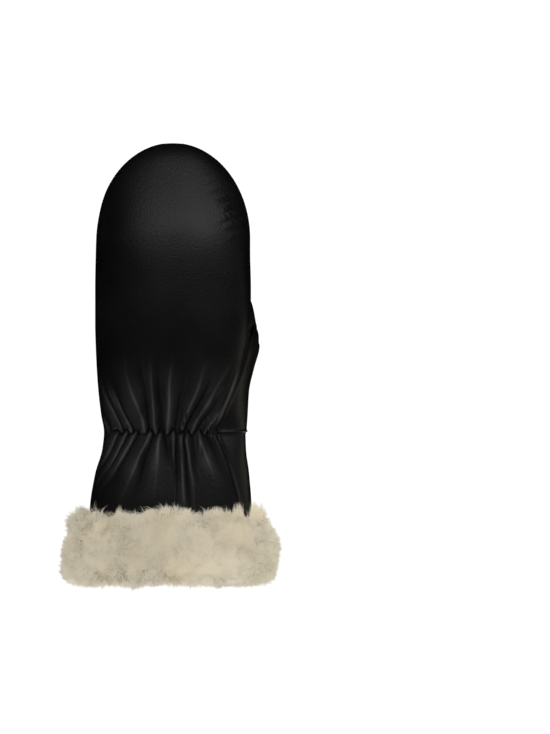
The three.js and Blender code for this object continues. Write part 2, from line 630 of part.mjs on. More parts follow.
// The cuff: a band round the outside of the leather, over the hem and a little way into the mouth,
// with rows of locks fused to it.
function fleeceCuff() {
  const hem = -GAUNTLET_LENGTH - SEAM_GAP;
  const band = CUFF_BAND.map((row) => ({
    y: cuffEdge - row.down * CUFF_TURN,
    inset: -row.out * CUFF_PILE,
  }));
  const profile = [
    { y: cuffEdge, inset: -CUFF_CLEARANCE },
    ...band,
    { y: FOLD_END, inset: 0 },
    { y: FOLD_END + FOLD_DEPTH / 3, inset: LINING_INSIDE * 0.8 },
    { y: LINING_START, inset: LINING_INSIDE },
    { y: LINING_START, inset: LINING_OUTSIDE },
    { y: hem, inset: LINING_OUTSIDE },
    { y: hem, inset: -CUFF_CLEARANCE },
  ];
  const ring = solid(sleeve(profile, COLUMNS.cuff));
  const locks = LOCK_ROWS.flatMap(lockRow).map(solid);
  // What the leather takes up, with its clearance, so that no lock reaches into it.
  const beyond = cuffEdge + LOCK_LENGTH;
  const leather = [hem, cuffEdge, beyond].map((y) => ({ y, inset: -CUFF_CLEARANCE }));
  const hollow = [beyond, hem].map((y) => ({ y, inset: LINING_INSIDE }));
  const kept = solid(sleeve([...leather, ...hollow], COLUMNS.cuff));
  const fleece = wasm.Manifold.union([ring, wasm.Manifold.union(locks).subtract(kept)]);
  const table = new THREE.BoxGeometry(4 * HAND_WIDTH, 4 * HAND_LENGTH, BODY_HEIGHT);
  table.translate(0, 0, -BODY_HEIGHT / 2);
  return geometryOf(largest(fleece.subtract(solid(table))));
}

const blackLeather = new THREE.MeshStandardMaterial({ color: 0x16161a, roughness: 0.5, metalness: 0 });
const creamPile = new THREE.MeshStandardMaterial({ color: 0xd8cfb4, roughness: 0.95, metalness: 0 });

const mitten = new THREE.Group();

function piece(name, geometry, material) {
  const mesh = new THREE.Mesh(geometry, material);
  mesh.name = name;
  mitten.add(mesh);
}

piece("back_panel", backPanel(), blackLeather);
piece("palm_panel", palmPanel(), blackLeather);
piece("thumb_front", thumbFront(), blackLeather);
piece("thumb_back", thumbBack(), blackLeather);
piece("gauntlet_palm", gauntletPalm(), blackLeather);
piece("fleece_lining", lining(), creamPile);
piece("fleece_cuff", fleeceCuff(), creamPile);

// The part's frame: the middle of what it covers on the table.
const box = new THREE.Box3().setFromObject(mitten, true);
mitten.position.set(-(box.min.x + box.max.x) / 2, -(box.min.y + box.max.y) / 2, -box.min.z);

export default mitten;
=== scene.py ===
"""Dresses the leather mitten: fine leather panels with gathers, seams and grain, and a deep pile cuff.

Shapes are made in millimetres, with Y = 0 on the wrist's elastic line, and then moved into the part's frame.
"""
import math
from types import SimpleNamespace

import bpy
import numpy as np
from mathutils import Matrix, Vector
from mathutils.kdtree import KDTree


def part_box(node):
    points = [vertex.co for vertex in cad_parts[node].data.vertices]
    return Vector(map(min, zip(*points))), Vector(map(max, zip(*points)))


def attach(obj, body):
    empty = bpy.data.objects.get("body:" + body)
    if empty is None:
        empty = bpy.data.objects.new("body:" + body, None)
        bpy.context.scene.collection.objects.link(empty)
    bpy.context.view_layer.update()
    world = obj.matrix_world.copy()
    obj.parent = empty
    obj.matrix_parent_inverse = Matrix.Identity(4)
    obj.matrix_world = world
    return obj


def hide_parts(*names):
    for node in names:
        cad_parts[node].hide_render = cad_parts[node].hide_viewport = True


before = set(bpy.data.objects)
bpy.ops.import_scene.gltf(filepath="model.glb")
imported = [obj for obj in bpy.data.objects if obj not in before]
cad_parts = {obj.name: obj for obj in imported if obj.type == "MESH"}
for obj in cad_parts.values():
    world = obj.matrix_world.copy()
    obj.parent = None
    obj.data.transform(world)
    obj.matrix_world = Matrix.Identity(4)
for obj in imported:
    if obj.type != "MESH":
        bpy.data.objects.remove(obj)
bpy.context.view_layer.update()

# As in the CAD part, with lengths in millimetres.
HAND_LENGTH = 202.0
TIP_LENGTH = 67.0
HAND_WIDTH = 108.0
HAND_THICKNESS = 33.0
GAUNTLET_LENGTH = 100.0
CROTCH_HEIGHT = 64.0
THUMB_LENGTH = 76.0
THUMB_TIP_LENGTH = 17.0
THUMB_THICKNESS = 23.0
THUMB_CLEARANCE = 1.4
THUMB_SQUASH = 1.5
LEATHER = 1.6
SEAM_GAP = 0.1
CUFF_CLEARANCE = 0.9
WRIST_STEP = 1.0
ELASTIC_PINCH = 1.2
LINING_PILE = 6.0
LINING_CLEARANCE = 0.5
LINING_LENGTH = 44.0
CUFF_TURN = 56.0
CUFF_PILE = 16.0
FOLD_DEPTH = 8.0
SQUARENESS = 0.8
THUMB_SLOPE = 15.0
THENAR_SLOPE = 13.0
DROOP_LENGTH = 34.0
THUMB_TOP = 4.5
FREE_SHOULDER = 0.8
WALL_LEAN = 0.8
LAST_TIP_ANGLE = math.radians(84)

BODY_HEIGHT = THUMB_THICKNESS + THUMB_CLEARANCE + HAND_THICKNESS
HALF_WIDTH = HAND_WIDTH / 2
TIP_START = HAND_LENGTH - TIP_LENGTH
THUMB_TIP_START = THUMB_LENGTH - THUMB_TIP_LENGTH
WELT = 0.035 * HALF_WIDTH
FOLD_END = -GAUNTLET_LENGTH - FOLD_DEPTH
CUFF_EDGE = FOLD_END + CUFF_TURN
LINING_OUTSIDE = LEATHER + ELASTIC_PINCH + LINING_CLEARANCE + WRIST_STEP
LINING_INSIDE = LINING_OUTSIDE + LINING_PILE
LINING_START = -GAUNTLET_LENGTH + FOLD_DEPTH

# Looks that the CAD part doesn't hold.
GROOVE_DEPTH = 2.7  # of the grooves between the gathers' folds, next to the elastic
FOLD_BULGE = 0.55  # how high a fold stands, as a share of its grooves' depth
FOLD_WANDER = 1.3  # how far the folds wander aside
ZIGZAG = 3.2  # how far the folds reach across the elastic line
CREST_WIDTH = 0.9  # of the painted highlight line along a fold's crest
CREASE_WIDTH = 1.0  # of the painted shade line in a groove
PINCH_DEPTH = 1.4  # of the groove along the elastic itself
PINCH_WIDTH = 0.8
PUCKER = 0.8  # height of the fine puckers beside the elastic
WRINKLE_DEPTH = 1.6  # of the short wrinkles near the fingertip, on the thumb side
WRINKLE_HEIGHT = 156.0  # how far above the elastic they are deepest
WRINKLE_FROM_SEAM = 18.0
SEAM_ROLL = 0.8  # how far a panel's edge turns in at a seam
SEAM_ROLL_WIDTH = 1.2
SEAM_LIP = 2.2  # how far from the seam the painted highlight on its lip lies
FORK_LEAD = 4.0  # the root's outline turns to the free thumb's this far below the fork
FORK_BLEND = 12.0  # the thumb's root turns into the free thumb over this length
SHARP_ANGLE = 40  # in degrees, from which an edge is shaded as sharp
BASE_SINK = 6.5  # the cuff's felted ground lies this far under the tips of its pile
CUFF_FIBRES = 165000
CUFF_PIECES = 3
CUFF_FIBRE_WIDTH = 0.17
LOCKS = 1150
LEFT_CORNER = 6.5  # how far the cuff's bottom left corner stands out
RIGHT_CORNER = 2.5
BOTTOM_CORNERS = 2.0  # how much further both corners' ends do
LEFT_BULGE = 6.5  # of the cuff's left side, beside its free edge
EDGE_SAG = (6.2, 7.0)  # how far the free edge hangs, on the left and on the right
EDGE_RISE = 7.0  # how far it rises again in its middle
EDGE_WAVE = 1.5
STRAY = 0.2  # the share of long stray fibres
CURL = 3.4  # how far a lock's tips turn aside
LINING_FIBRES = 30000
LINING_FIBRE_WIDTH = 0.2
LINING_REACH = 3.2

# Cells of the grids. Those of a leather wall are even, because its inner side has half as many.
GAUNTLET_ROWS = 70
ROOT_ROWS = 64
HAND_ROWS = 36
TIP_ROWS = 66
THUMB_ROWS = 44
THUMB_TIP_ROWS = 24
BACK_COLUMNS = 260
PALM_COLUMNS = (44, 36, 44)  # beside the thumb, up onto it and over it
THUMB_FRONT_COLUMNS = 84
THUMB_BACK_COLUMNS = 48
GAUNTLET_COLUMNS = 120
CUFF_COLUMNS = 260
CUFF_RINGS = 92
LINING_COLUMNS = 150
LINING_RINGS = (24, 60)  # on the sleeve's outside and on its pile side

# Sections of hand and gauntlet, and of the free thumb, as in the CAD part.
SECTIONS = {
    "along": [-1.0, -0.55, -0.3, -0.12, 0.0, 0.06, 0.14, 0.22, 0.3, 0.37, 0.5, 0.62, 0.74, 0.86, 1.0],
    "left": [
        1.05, 1.05, 0.985, 0.89, 0.868, 0.905, 0.94, 0.962, 0.975, 0.982, 0.982, 0.975, 0.965, 0.98, 0.985,
    ],
    "right": [1.05, 1.035, 1.0, 0.97, 0.97, 0.982, 1.0, 1.065, 1.137, 1.01, 1.01, 1.0, 1.0, 1.0, 1.0],
    "seam": [0.92, 0.885, 0.78, 0.67, 0.59, 0.68, 0.8, 0.905, 0.975, 1.01, 1.01, 1.0, 1.0, 1.0, 1.0],
    "crown": [0.84, 0.83, 0.8, 0.755, 0.72, 0.77, 0.82, 0.865, 0.91, 0.95, 0.975, 0.975, 0.9, 0.77, 0.62],
    "left_edge": [0.54, 0.53, 0.52, 0.5, 0.49, 0.485, 0.49, 0.5, 0.515, 0.525, 0.53, 0.5, 0.44, 0.38, 0.33],
    "right_edge": [0.54, 0.53, 0.52, 0.5, 0.47, 0.43, 0.37, 0.3, 0.26, 0.68, 0.67, 0.62, 0.5, 0.4, 0.33],
    "sole": [0.25, 0.25, 0.25, 0.25, 0.245, 0.23, 0.2, 0.185, 0.18, 0.175, 0.16, 0.145, 0.07, -0.02, -0.03],
    "heel": [0.25, 0.25, 0.25, 0.25, 0.22, 0.12, 0.02, 0, 0, 0, 0, 0, 0, 0, 0],
}
THUMB_SECTIONS = {
    "along": [0.0, 0.03, 0.07, 0.16, 0.34, 0.54, 0.71, 0.83, 1.0],
    "left": [0.035, 0.035, 0.03, -0.005, -0.03, -0.046, -0.06, -0.065, -0.065],
    "right": [1.125, 1.12, 1.105, 1.075, 1.02, 0.82, 0.64, 0.54, 0.5],
    "crown": [0.92, 0.92, 0.94, 0.98, 1.0, 1.0, 1.0, 1.0, 1.0],
    "shoulder": [1.45, 1.35, 1.15, 0.8, 0.57, 0.5, 0.5, 0.5, 0.5],
}

# Grooves between the folds that fan out from the elastic: (foot, head, reach, depth, crest). foot
# and head are shares of HALF_WIDTH, reach is a share of HAND_LENGTH above the line and of
# GAUNTLET_LENGTH below it, and crest says where the fold to the right of the groove is highest.
GROOVES_ABOVE = [
    (-0.9, -1.0, 0.05, 0.2, 0.6),
    (-0.76, -0.93, 0.1, 0.6, 0.75),
    (-0.6, -0.86, 0.16, 1.0, 0.6),
    (-0.46, -0.7, 0.13, 0.7, 0.6),
    (-0.28, -0.39, 0.22, 1.0, 0.42),
    (-0.11, -0.156, 0.22, 0.9, 0.38),
    (0.03, 0.17, 0.19, 0.9, 0.74),
    (0.155, 0.565, 0.21, 1.2, 0.66),
    (0.31, 0.69, 0.16, 0.8, 0.7),
    (0.47, 0.86, 0.12, 0.7, 0.5),
]
GROOVES_BELOW = [
    (-0.82, -1.02, 0.2, 0.6, 0.7),
    (-0.655, -0.93, 0.3, 0.9, 0.55),
    (-0.53, -0.9, 0.34, 1.0, 0.45),
    (-0.4, -0.7, 0.28, 0.9, 0.65),
    (-0.205, -0.44, 0.42, 0.9, 0.5),
    (-0.09, -0.02, 0.2, 0.9, 0.72),
    (0.062, 0.062, 0.46, 1.1, 0.6),
    (0.167, 0.25, 0.56, 1.1, 0.27),
    (0.265, 0.34, 0.22, 0.8, 0.55),
    (0.42, 0.74, 0.32, 0.9, 0.5),
]

# Creases across the palm: (from x, from y, to x, to y, width), by HALF_WIDTH and HAND_LENGTH.
PALM_CREASES = [
    (-0.1, 0.54, -0.6, 0.4, 0.09),
    (-0.12, 0.36, -0.62, 0.3, 0.07),
    (-0.12, 0.2, -0.42, 0.08, 0.08),
]
PALM_CREASE = 1.6

# The turned-out band in cross-section: (out, down), from its free edge round the fold,
# as shares of CUFF_PILE and CUFF_TURN.
CUFF_BAND = [(0.42, -0.03), (0.86, 0.07), (1.0, 0.3), (1.03, 0.6), (0.92, 0.83), (0.5, 0.96)]

# Tufts that stand up from the band's free edge: (across, up, lean, width), in millimetres.
TUFTS = [
    (-37.0, 7.0, 0.5, 2.0),
    (-15.0, 4.0, -1.0, 4.0),
    (-5.0, 4.0, 1.0, 4.0),
    (9.0, 4.5, 1.5, 4.0),
    (31.0, 6.5, 1.0, 5.0),
    (46.5, 8.5, -1.5, 3.6),
    (57.0, 9.5, 1.0, 3.4),
    (63.5, 9.5, 2.5, 4.0),
]

# Where the part's frame lies from the millimetre shapes here.
SHIFT = np.array([
    1000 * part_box("palm_panel")[1].x - 1.01 * HALF_WIDTH,
    1000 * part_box("gauntlet_palm")[0].y + GAUNTLET_LENGTH,
    0.0,
])


def lerp(a, b, t):
    return a + (b - a) * t


def unit(v):
    return v / np.maximum(np.linalg.norm(v, axis=-1, keepdims=True), 1e-9)


def smoothstep(x, low, high):
    t = np.clip((x - low) / (high - low), 0, 1)
    return t * t * (3 - 2 * t)


def bell(x, middle, width):
    """A smooth bump that is 1 at its middle."""
    return np.exp(-(((x - middle) / width) ** 2))


def reader(table, column):
    """Reads one column of a table smoothly, without overshoot between its rows."""
    at = np.array(table["along"], float)
    value = np.array(table[column], float)
    secant = np.diff(value) / np.diff(at)
    before = np.concatenate([secant[:1], secant])
    after = np.concatenate([secant, secant[-1:]])
    product = before * after
    total = np.where(product > 0, before + after, 1)
    slope = np.where(product > 0, 2 * product / total, 0)

    def read(share):
        x = np.clip(share, at[0], at[-1])
        k = np.clip(np.searchsorted(at, x) - 1, 0, len(secant) - 1)
        width = at[k + 1] - at[k]
        t = (x - at[k]) / width
        rest = 1 - t
        return (
            value[k] * (1 + 2 * t) * rest**2
            + value[k + 1] * (3 - 2 * t) * t**2
            + slope[k] * width * t * rest**2
            - slope[k + 1] * width * rest * t**2
        )

    return read


def eased(read, spread, start):
    """A column's curve without its rows' bends, past a start."""
    shares = np.linspace(-1, 1, 801)
    weight = np.exp(-0.5 * ((shares[:, None] - shares[None, :]) / spread) ** 2)
    soft = weight @ read(shares) / weight.sum(axis=1)

    def read_soft(share):
        return lerp(read(share), np.interp(share, shares, soft), smoothstep(share, start, start + 0.15))

    return read_soft


hand = SimpleNamespace(**{name: reader(SECTIONS, name) for name in SECTIONS})
hand.crown = eased(hand.crown, 0.05, 0.1)
thumb = SimpleNamespace(**{name: reader(THUMB_SECTIONS, name) for name in THUMB_SECTIONS})


def along_hand(y):
    return y / (HAND_LENGTH if y > 0 else GAUNTLET_LENGTH)


def taper_width(angle):
    return math.cos(angle)


def taper_height(angle):
    last = math.cos(LAST_TIP_ANGLE)
    return max((math.cos(angle) - last) / (1 - last), 0) ** SQUARENESS


def rise_at(y):
    """How far, from 0 to 1, the palm has risen onto the thumb."""
    tip = CROTCH_HEIGHT + THUMB_LENGTH
    past = smoothstep(y, tip, tip + DROOP_LENGTH)
    return smoothstep(y, CROTCH_HEIGHT - THUMB_SLOPE, CROTCH_HEIGHT) * (1 - past)


def slope_top(y):
    """Where the palm's slope onto the thumb ends, across."""
    side = thumb.left((y - CROTCH_HEIGHT) / THUMB_LENGTH) * HALF_WIDTH
    return side + THUMB_TOP * smoothstep(y, CROTCH_HEIGHT, CROTCH_HEIGHT + THUMB_SLOPE)


def palm_height(x, y):
    low = hand.sole(along_hand(y)) * BODY_HEIGHT
    top = slope_top(y)
    return lerp(low, THUMB_THICKNESS + THUMB_CLEARANCE, rise_at(y) * smoothstep(x, top - THUMB_SLOPE, top))


def sole_height(x, y, inset):
    """The underside below the fork, where the thumb's root is one with the palm."""
    start = palm_height(WELT, y) - (LEATHER + SEAM_GAP) * rise_at(y)
    heel = hand.heel(along_hand(y)) * BODY_HEIGHT
    run = lerp(THENAR_SLOPE, THUMB_TOP, rise_at(y))
    root = lerp(start, heel, smoothstep(x - WALL_LEAN * inset, WELT, WELT + run))
    return np.where(x < WELT, palm_height(x, y), root) + inset


def shell_loop(y, angle=0.0, inset=0.0):
    """The whole section at a station, set in by a distance."""
    y = y + (TIP_LENGTH - inset) * math.sin(angle)
    at = along_hand(y)
    left = -hand.left(at) * HALF_WIDTH
    right = hand.right(at) * HALF_WIDTH
    return SimpleNamespace(
        y=y,
        inset=inset,
        taper=taper_height(angle),
        centre=(left + right) / 2,
        half=((right - left) / 2 - inset) * taper_width(angle),
        left_edge=hand.left_edge(at) * BODY_HEIGHT,
        right_edge=hand.right_edge(at) * BODY_HEIGHT,
        crown=hand.crown(at) * BODY_HEIGHT - inset,
        sole=lambda x: sole_height(x, y, inset),
    )


def point_at(loop, turn):
    """Points of a loop: turn 0 is the thumb side, a quarter turn the top, a half the far side."""
    turn = np.asarray(turn, float)
    c = np.cos(turn)
    s = np.sin(turn)
    across = np.sign(c) * np.abs(c) ** SQUARENESS
    x = loop.centre + loop.half * across
    edge = lerp(loop.left_edge, loop.right_edge, (across + 1) / 2)
    far = np.where(s >= 0, loop.crown, loop.sole(x))
    z = edge + (far - edge) * loop.taper * np.abs(s) ** SQUARENESS
    return np.stack([x, np.full_like(x, loop.y), np.maximum(z, max(loop.inset, 0))], axis=-1)


def turn_at(loop, x, half):
    across = min(max((x - loop.centre) / loop.half, -1), 1)
    turn = math.acos(math.copysign(abs(across) ** (1 / SQUARENESS), across))
    return turn if half == "upper" else 2 * math.pi - turn


def seam_x(y):
    return hand.seam(along_hand(y)) * HALF_WIDTH


def seam_turn(loop, shift=0.0):
    overhang = hand.right(along_hand(loop.y)) * HALF_WIDTH - seam_x(loop.y)
    return turn_at(loop, seam_x(loop.y) + shift, "upper") if overhang > LEATHER else 0.0


def crease_at(x, y):
    total = 0
    for from_x, from_y, to_x, to_y, width in PALM_CREASES:
        start = np.array([from_x * HALF_WIDTH, from_y * HAND_LENGTH])
        run = np.array([to_x * HALF_WIDTH, to_y * HAND_LENGTH]) - start
        place = np.stack(np.broadcast_arrays(x, y), axis=-1) - start
        t = np.clip(place @ run / (run @ run), 0, 1)
        away = np.linalg.norm(place - t[..., None] * run, axis=-1)
        total = total + bell(away, 0, width * HALF_WIDTH) * (1 - 0.6 * t)
    return total


def hand_loop(y, angle=0.0, inset=0.0):
    """The hand without the thumb's root."""
    loop = shell_loop(y, angle, inset)
    under = shell_loop(y, angle, LEATHER)
    turn = seam_turn(under)
    at = along_hand(loop.y)
    right = seam_x(loop.y) - SEAM_GAP if turn else hand.right(at) * HALF_WIDTH
    left = -hand.left(at) * HALF_WIDTH
    if turn:
        loop.right_edge = float(point_at(under, turn)[2]) - SEAM_GAP
    loop.centre = (left + right) / 2
    loop.half = ((right - left) / 2 - inset) * taper_width(angle)
    end = loop.y
    loop.sole = lambda x: palm_height(x + WALL_LEAN * inset, end) + inset + PALM_CREASE * crease_at(x, end)
    return loop


def thumb_loop(y, angle=0.0, inset=0.0):
    y = y + (THUMB_TIP_LENGTH - inset) * math.sin(angle)
    at = (y - CROTCH_HEIGHT) / THUMB_LENGTH
    left = thumb.left(at) * HALF_WIDTH
    right = thumb.right(at) * HALF_WIDTH
    return SimpleNamespace(
        y=y,
        inset=inset,
        taper=taper_height(angle),
        centre=(left + right) / 2,
        half=((right - left) / 2 - inset) * taper_width(angle),
        left_edge=THUMB_THICKNESS / 2,
        right_edge=thumb.shoulder(at) * THUMB_THICKNESS,
        crown=thumb.crown(at) * THUMB_THICKNESS - inset,
        sole=lambda x: np.full_like(x, inset - THUMB_SQUASH),
    )


def even_turns(loop, start, end, count, bend_weight=3.0):
    """Turns that divide a stretch of a loop evenly, by its length and by how far it bends."""
    turns = np.linspace(start, end, 257)
    steps = np.diff(point_at(loop, turns), axis=0)
    sizes = np.linalg.norm(steps, axis=1)
    units = steps / np.maximum(sizes, 1e-9)[:, None]
    bends = np.zeros(len(sizes))
    bends[1:] = np.arccos(np.clip((units[1:] * units[:-1]).sum(1), -1, 1))
    bends[sizes < 1e-9] = 0
    travelled = np.concatenate([[0], np.cumsum(sizes + bend_weight * bends + 1e-9)])
    return np.interp(np.linspace(0, travelled[-1], count + 1), travelled, turns)


def strip(loop, start, end, count):
    return point_at(loop, even_turns(loop, start, end, count))


NOISE_TABLE = 4096
CELL_KEYS = (73856093, 19349663, 83492791)  # large primes, one to an axis
SEED_KEY = 977


def noise(points, size, seed):
    """Smooth repeatable noise from -1 to 1 over points, with features of a size."""
    table = np.random.default_rng(seed).uniform(-1, 1, NOISE_TABLE)
    p = np.asarray(points, float) / size
    cell = np.floor(p).astype(np.int64)
    t = p - cell
    t = t * t * (3 - 2 * t)
    total = 0
    for corner in np.ndindex(*(2,) * p.shape[-1]):
        key = 0
        weight = 1
        for axis, step in enumerate(corner):
            key = key ^ ((cell[..., axis] + step) * CELL_KEYS[axis])
            weight = weight * (t[..., axis] if step else 1 - t[..., axis])
        total = total + weight * table[(key + SEED_KEY * seed) % NOISE_TABLE]
    return total


def noise_vectors(points, size, seed):
    """Three noises of one size, as vectors."""
    return np.stack([noise(points, size, seed + axis) for axis in range(3)], -1)


def folds_at(x, y, grooves, span):
    """The folds of one row: their height by GROOVE_DEPTH, their arch, their painted highlight along the
    crests and their painted shade in the grooves.
    """
    share = abs(y) / span
    spines = []
    depths = []
    crests = []
    for foot, head, reach, depth, crest in grooves:
        t = share / reach
        spines.append(lerp(foot, head, min(t, 1.6)) * HALF_WIDTH)
        depths.append(depth * float(1 - smoothstep(t, 0.25, 1.3)))
        crests.append(lerp(crest, 0.5, 0.6 * min(t, 1.0)))
    spines, depths, crests = (np.array(column) for column in (spines, depths, crests))
    k = np.clip(np.searchsorted(spines, x) - 1, 0, len(spines) - 2)
    width = np.maximum(spines[k + 1] - spines[k], 1e-3)
    f = (x - spines[k]) / width
    inside = np.clip(f, 0, 1)
    skewed = inside ** (math.log(0.5) / np.log(crests[k]))
    arch = (1 - np.abs(2 * skewed - 1) ** 1.4) ** 0.8
    beyond = np.exp(-np.abs(f - inside) * 3)
    depth = lerp(depths[k], depths[k + 1], inside) * beyond
    # A painted highlight along each fold's crest and, fainter, over its arch.
    painted_highlight = depth * (0.75 * bell((f - crests[k]) * width, 0, CREST_WIDTH) + 0.3 * arch)
    # Painted shade along each groove.
    painted_shade = (depths * bell(x[:, None], spines, CREASE_WIDTH)).max(axis=1)
    return depth * ((1 + FOLD_BULGE) * arch - 1), arch, painted_highlight, painted_shade


def gathers(points):
    """How far the back's leather stands out at each point of its grid, its painted highlight and its painted
    shade.
    """
    out, painted_highlight, painted_shade = np.zeros((3, *points.shape[:2]))
    for i, row in enumerate(points):
        x = row[:, 0]
        y = float(row[0, 1])
        wander = FOLD_WANDER * noise(np.stack([x, np.full_like(x, 0.6 * y)], -1), 10.0, seed=11)
        bent = x + wander * smoothstep(abs(y), 0, 8)
        above, arch_above, highlight_above, shade_above = folds_at(bent, max(y, 0), GROOVES_ABOVE, HAND_LENGTH)
        below, arch_below, highlight_below, shade_below = folds_at(bent, min(y, 0), GROOVES_BELOW, GAUNTLET_LENGTH)
        # The two sides' folds meet in a zigzag along the elastic.
        past = y - ZIGZAG * (arch_below - arch_above) * bell(y, 0, 6)
        pinch = bell(past, 0, PINCH_WIDTH)
        rise = np.where(past >= 0, above, below) * GROOVE_DEPTH
        fine = np.abs(noise(np.stack([bent / 2.2, np.full_like(x, y / 12)], -1), 1.0, seed=5))
        out[i] = rise + PUCKER * bell(y, 0, 13) * (fine - 0.3)
        out[i] -= PINCH_DEPTH * pinch * smoothstep(x - x.min(), 2, 14)
        patchy = 0.85 + 0.5 * noise(np.stack([x / 7, np.full_like(x, y / 14)], -1), 1.0, seed=6)
        painted_highlight[i] = np.where(past >= 0, highlight_above, highlight_below) * patchy * smoothstep(np.abs(past), 0.8, 2.4)
        # Painted shade along the elastic's pinch as well.
        painted_shade[i] = np.maximum(np.where(past >= 0, shade_above, shade_below), 0.9 * pinch)
    return out, np.clip(painted_highlight, 0, 1), np.clip(painted_shade, 0, 1)


def normals_of(grid):
    """Outward unit normals of a grid that runs up Y by rows and round the section by columns."""
    down = np.gradient(grid, axis=0)
    across = np.gradient(grid, axis=1)
    return unit(np.cross(across, down))


def travel(grid, axis):
    """Distance along a grid's rows or columns, from its first point and from its last."""
    steps = np.linalg.norm(np.diff(grid, axis=axis), axis=-1)
    lead = np.zeros_like(np.take(grid[..., 0], [0], axis=axis))
    run = np.concatenate([lead, np.cumsum(steps, axis=axis)], axis=axis)
    return run, np.take(run, [-1], axis=axis) - run


def evened(grid, spread, low, high):
    """How far points move when each column of a grid is averaged along Y between two places."""
    y = grid[:, 0, 1]
    share = np.abs(np.gradient(y)) * np.exp(-0.5 * ((y[:, None] - y[None, :]) / spread) ** 2)
    mean = np.tensordot(share / share.sum(axis=1, keepdims=True), grid, axes=1)
    window = smoothstep(y, low, low + 25) * (1 - smoothstep(y, high - 25, high))
    return window[:, None, None] * (mean - grid) * np.array([1, 0, 1])


def rolled(distance, depth=SEAM_ROLL, width=SEAM_ROLL_WIDTH):
    return -depth * bell(distance, 0, width)


def linked(name, data):
    """Puts a mesh, a lamp or a camera into the scene."""
    made = bpy.data.objects.new(name, data)
    bpy.context.scene.collection.objects.link(made)
    return made


def make_mesh(name, vertices, faces, sharp=SHARP_ANGLE, highlight_and_shade=None):
    mesh = bpy.data.meshes.new(name)
    mesh.from_pydata([tuple(v) for v in vertices], [], faces)
    mesh.validate()
    mesh.polygons.foreach_set("use_smooth", [True] * len(mesh.polygons))
    if sharp:
        mesh.set_sharp_from_angle(angle=math.radians(sharp))
    if highlight_and_shade is not None:
        shades = mesh.color_attributes.new("highlight_and_shade", "FLOAT_COLOR", "POINT")
        colour = np.ones((len(highlight_and_shade), 4), np.float32)
        colour[:, :3] = highlight_and_shade
        shades.data.foreach_set("color", colour.reshape(-1))
    mesh.update()
    return linked(name, mesh)


def placed(points):
    return (points.reshape(-1, 3) + SHIFT) / 1000


def wall(name, outer, inner, hole=(0, 0), highlight_and_shade=None):
    """Joins an outer grid and an inner one, with half as many cells each way, into one wall.

    Inner cells in the rows below hole's first number and from the column of its second are left out.
    """
    inner = inner[::2, ::2]
    rows = inner.shape[0] - 1
    columns = inner.shape[1] - 1
    wide = outer.shape[1]
    base = outer.shape[0] * wide
    narrow = inner.shape[1]
    present = np.ones((rows, columns), bool)
    present[:hole[0], hole[1]:] = False

    def out(r, c):
        return r * wide + c

    def inn(r, c):
        return base + r * narrow + c

    def filled(i, j):
        return 0 <= i < rows and 0 <= j < columns and present[i, j]

    faces = []
    for i in range(rows):
        for j in range(columns):
            if not present[i, j]:
                continue
            for r in (2 * i, 2 * i + 1):
                for c in (2 * j, 2 * j + 1):
                    faces.append((out(r, c), out(r, c + 1), out(r + 1, c + 1), out(r + 1, c)))
            faces.append((inn(i, j), inn(i + 1, j), inn(i + 1, j + 1), inn(i, j + 1)))
            ring = [(i, j), (i, j + 1), (i + 1, j + 1), (i + 1, j)]
            beyond = [(i - 1, j), (i, j + 1), (i + 1, j), (i, j - 1)]
            for side in range(4):
                if filled(*beyond[side]):
                    continue
                a = ring[side]
                b = ring[(side + 1) % 4]
                middle = out(a[0] + b[0], a[1] + b[1])
                faces.append((out(2 * b[0], 2 * b[1]), middle, out(2 * a[0], 2 * a[1]), inn(*a), inn(*b)))
    points = np.concatenate([placed(outer), placed(inner)])
    used = np.unique(np.concatenate([np.array(f) for f in faces]))
    index = np.zeros(len(points), int)
    index[used] = np.arange(len(used))
    faces = [tuple(int(index[v]) for v in f) for f in faces]
    if highlight_and_shade is not None:
        highlight_and_shade = np.concatenate([highlight_and_shade.reshape(-1, 3), np.zeros((inner.shape[0] * narrow, 3))])[used]
    return make_mesh(name, points[used], faces, highlight_and_shade=highlight_and_shade)


def grids(stations, row_at):
    outer = np.stack([row_at(y, angle, 0.0) for y, angle in stations])
    inner = np.stack([row_at(y, angle, LEATHER) for y, angle in stations])
    return outer, inner


def tip_stations(start, count):
    return [(start, LAST_TIP_ANGLE * (k + 1) / count) for k in range(count)]


def places(start, end, count, power=1.0):
    return [(start + (end - start) * (k / count) ** power, 0.0) for k in range(count + 1)]


# Rows lie closest together at the elastic and, on the thumb, at the fork.
gauntlet_rows = places(0, -GAUNTLET_LENGTH, GAUNTLET_ROWS, power=1.35)[::-1]
root_rows = places(0, CROTCH_HEIGHT, ROOT_ROWS, power=1.25)
sewn_root = [(max(y, SEAM_GAP / 2), angle) for y, angle in root_rows]
hand_rows = places(CROTCH_HEIGHT, TIP_START, HAND_ROWS)
tip_rows = tip_stations(TIP_START, TIP_ROWS)
free_thumb_rows = places(CROTCH_HEIGHT, CROTCH_HEIGHT + THUMB_TIP_START, THUMB_ROWS, power=1.3)
free_thumb_rows += tip_stations(CROTCH_HEIGHT + THUMB_TIP_START, THUMB_TIP_ROWS)


def wrinkles(points, right):
    """Short slanting wrinkles near the fingertip on the thumb side, from 0 to 1."""
    plan = points[..., :2]
    y = points[..., 1]
    slant = 0.85 * y - 0.5 * points[..., 0]
    lines = np.maximum(np.sin(slant + 1.4 * noise(plan, 12.0, seed=21)), 0) ** 2
    patches = smoothstep(noise(plan, 7.0, seed=22), -0.6, 0.1)
    return bell(y, WRINKLE_HEIGHT, 15) * bell(right, WRINKLE_FROM_SEAM, 10) * lines * patches


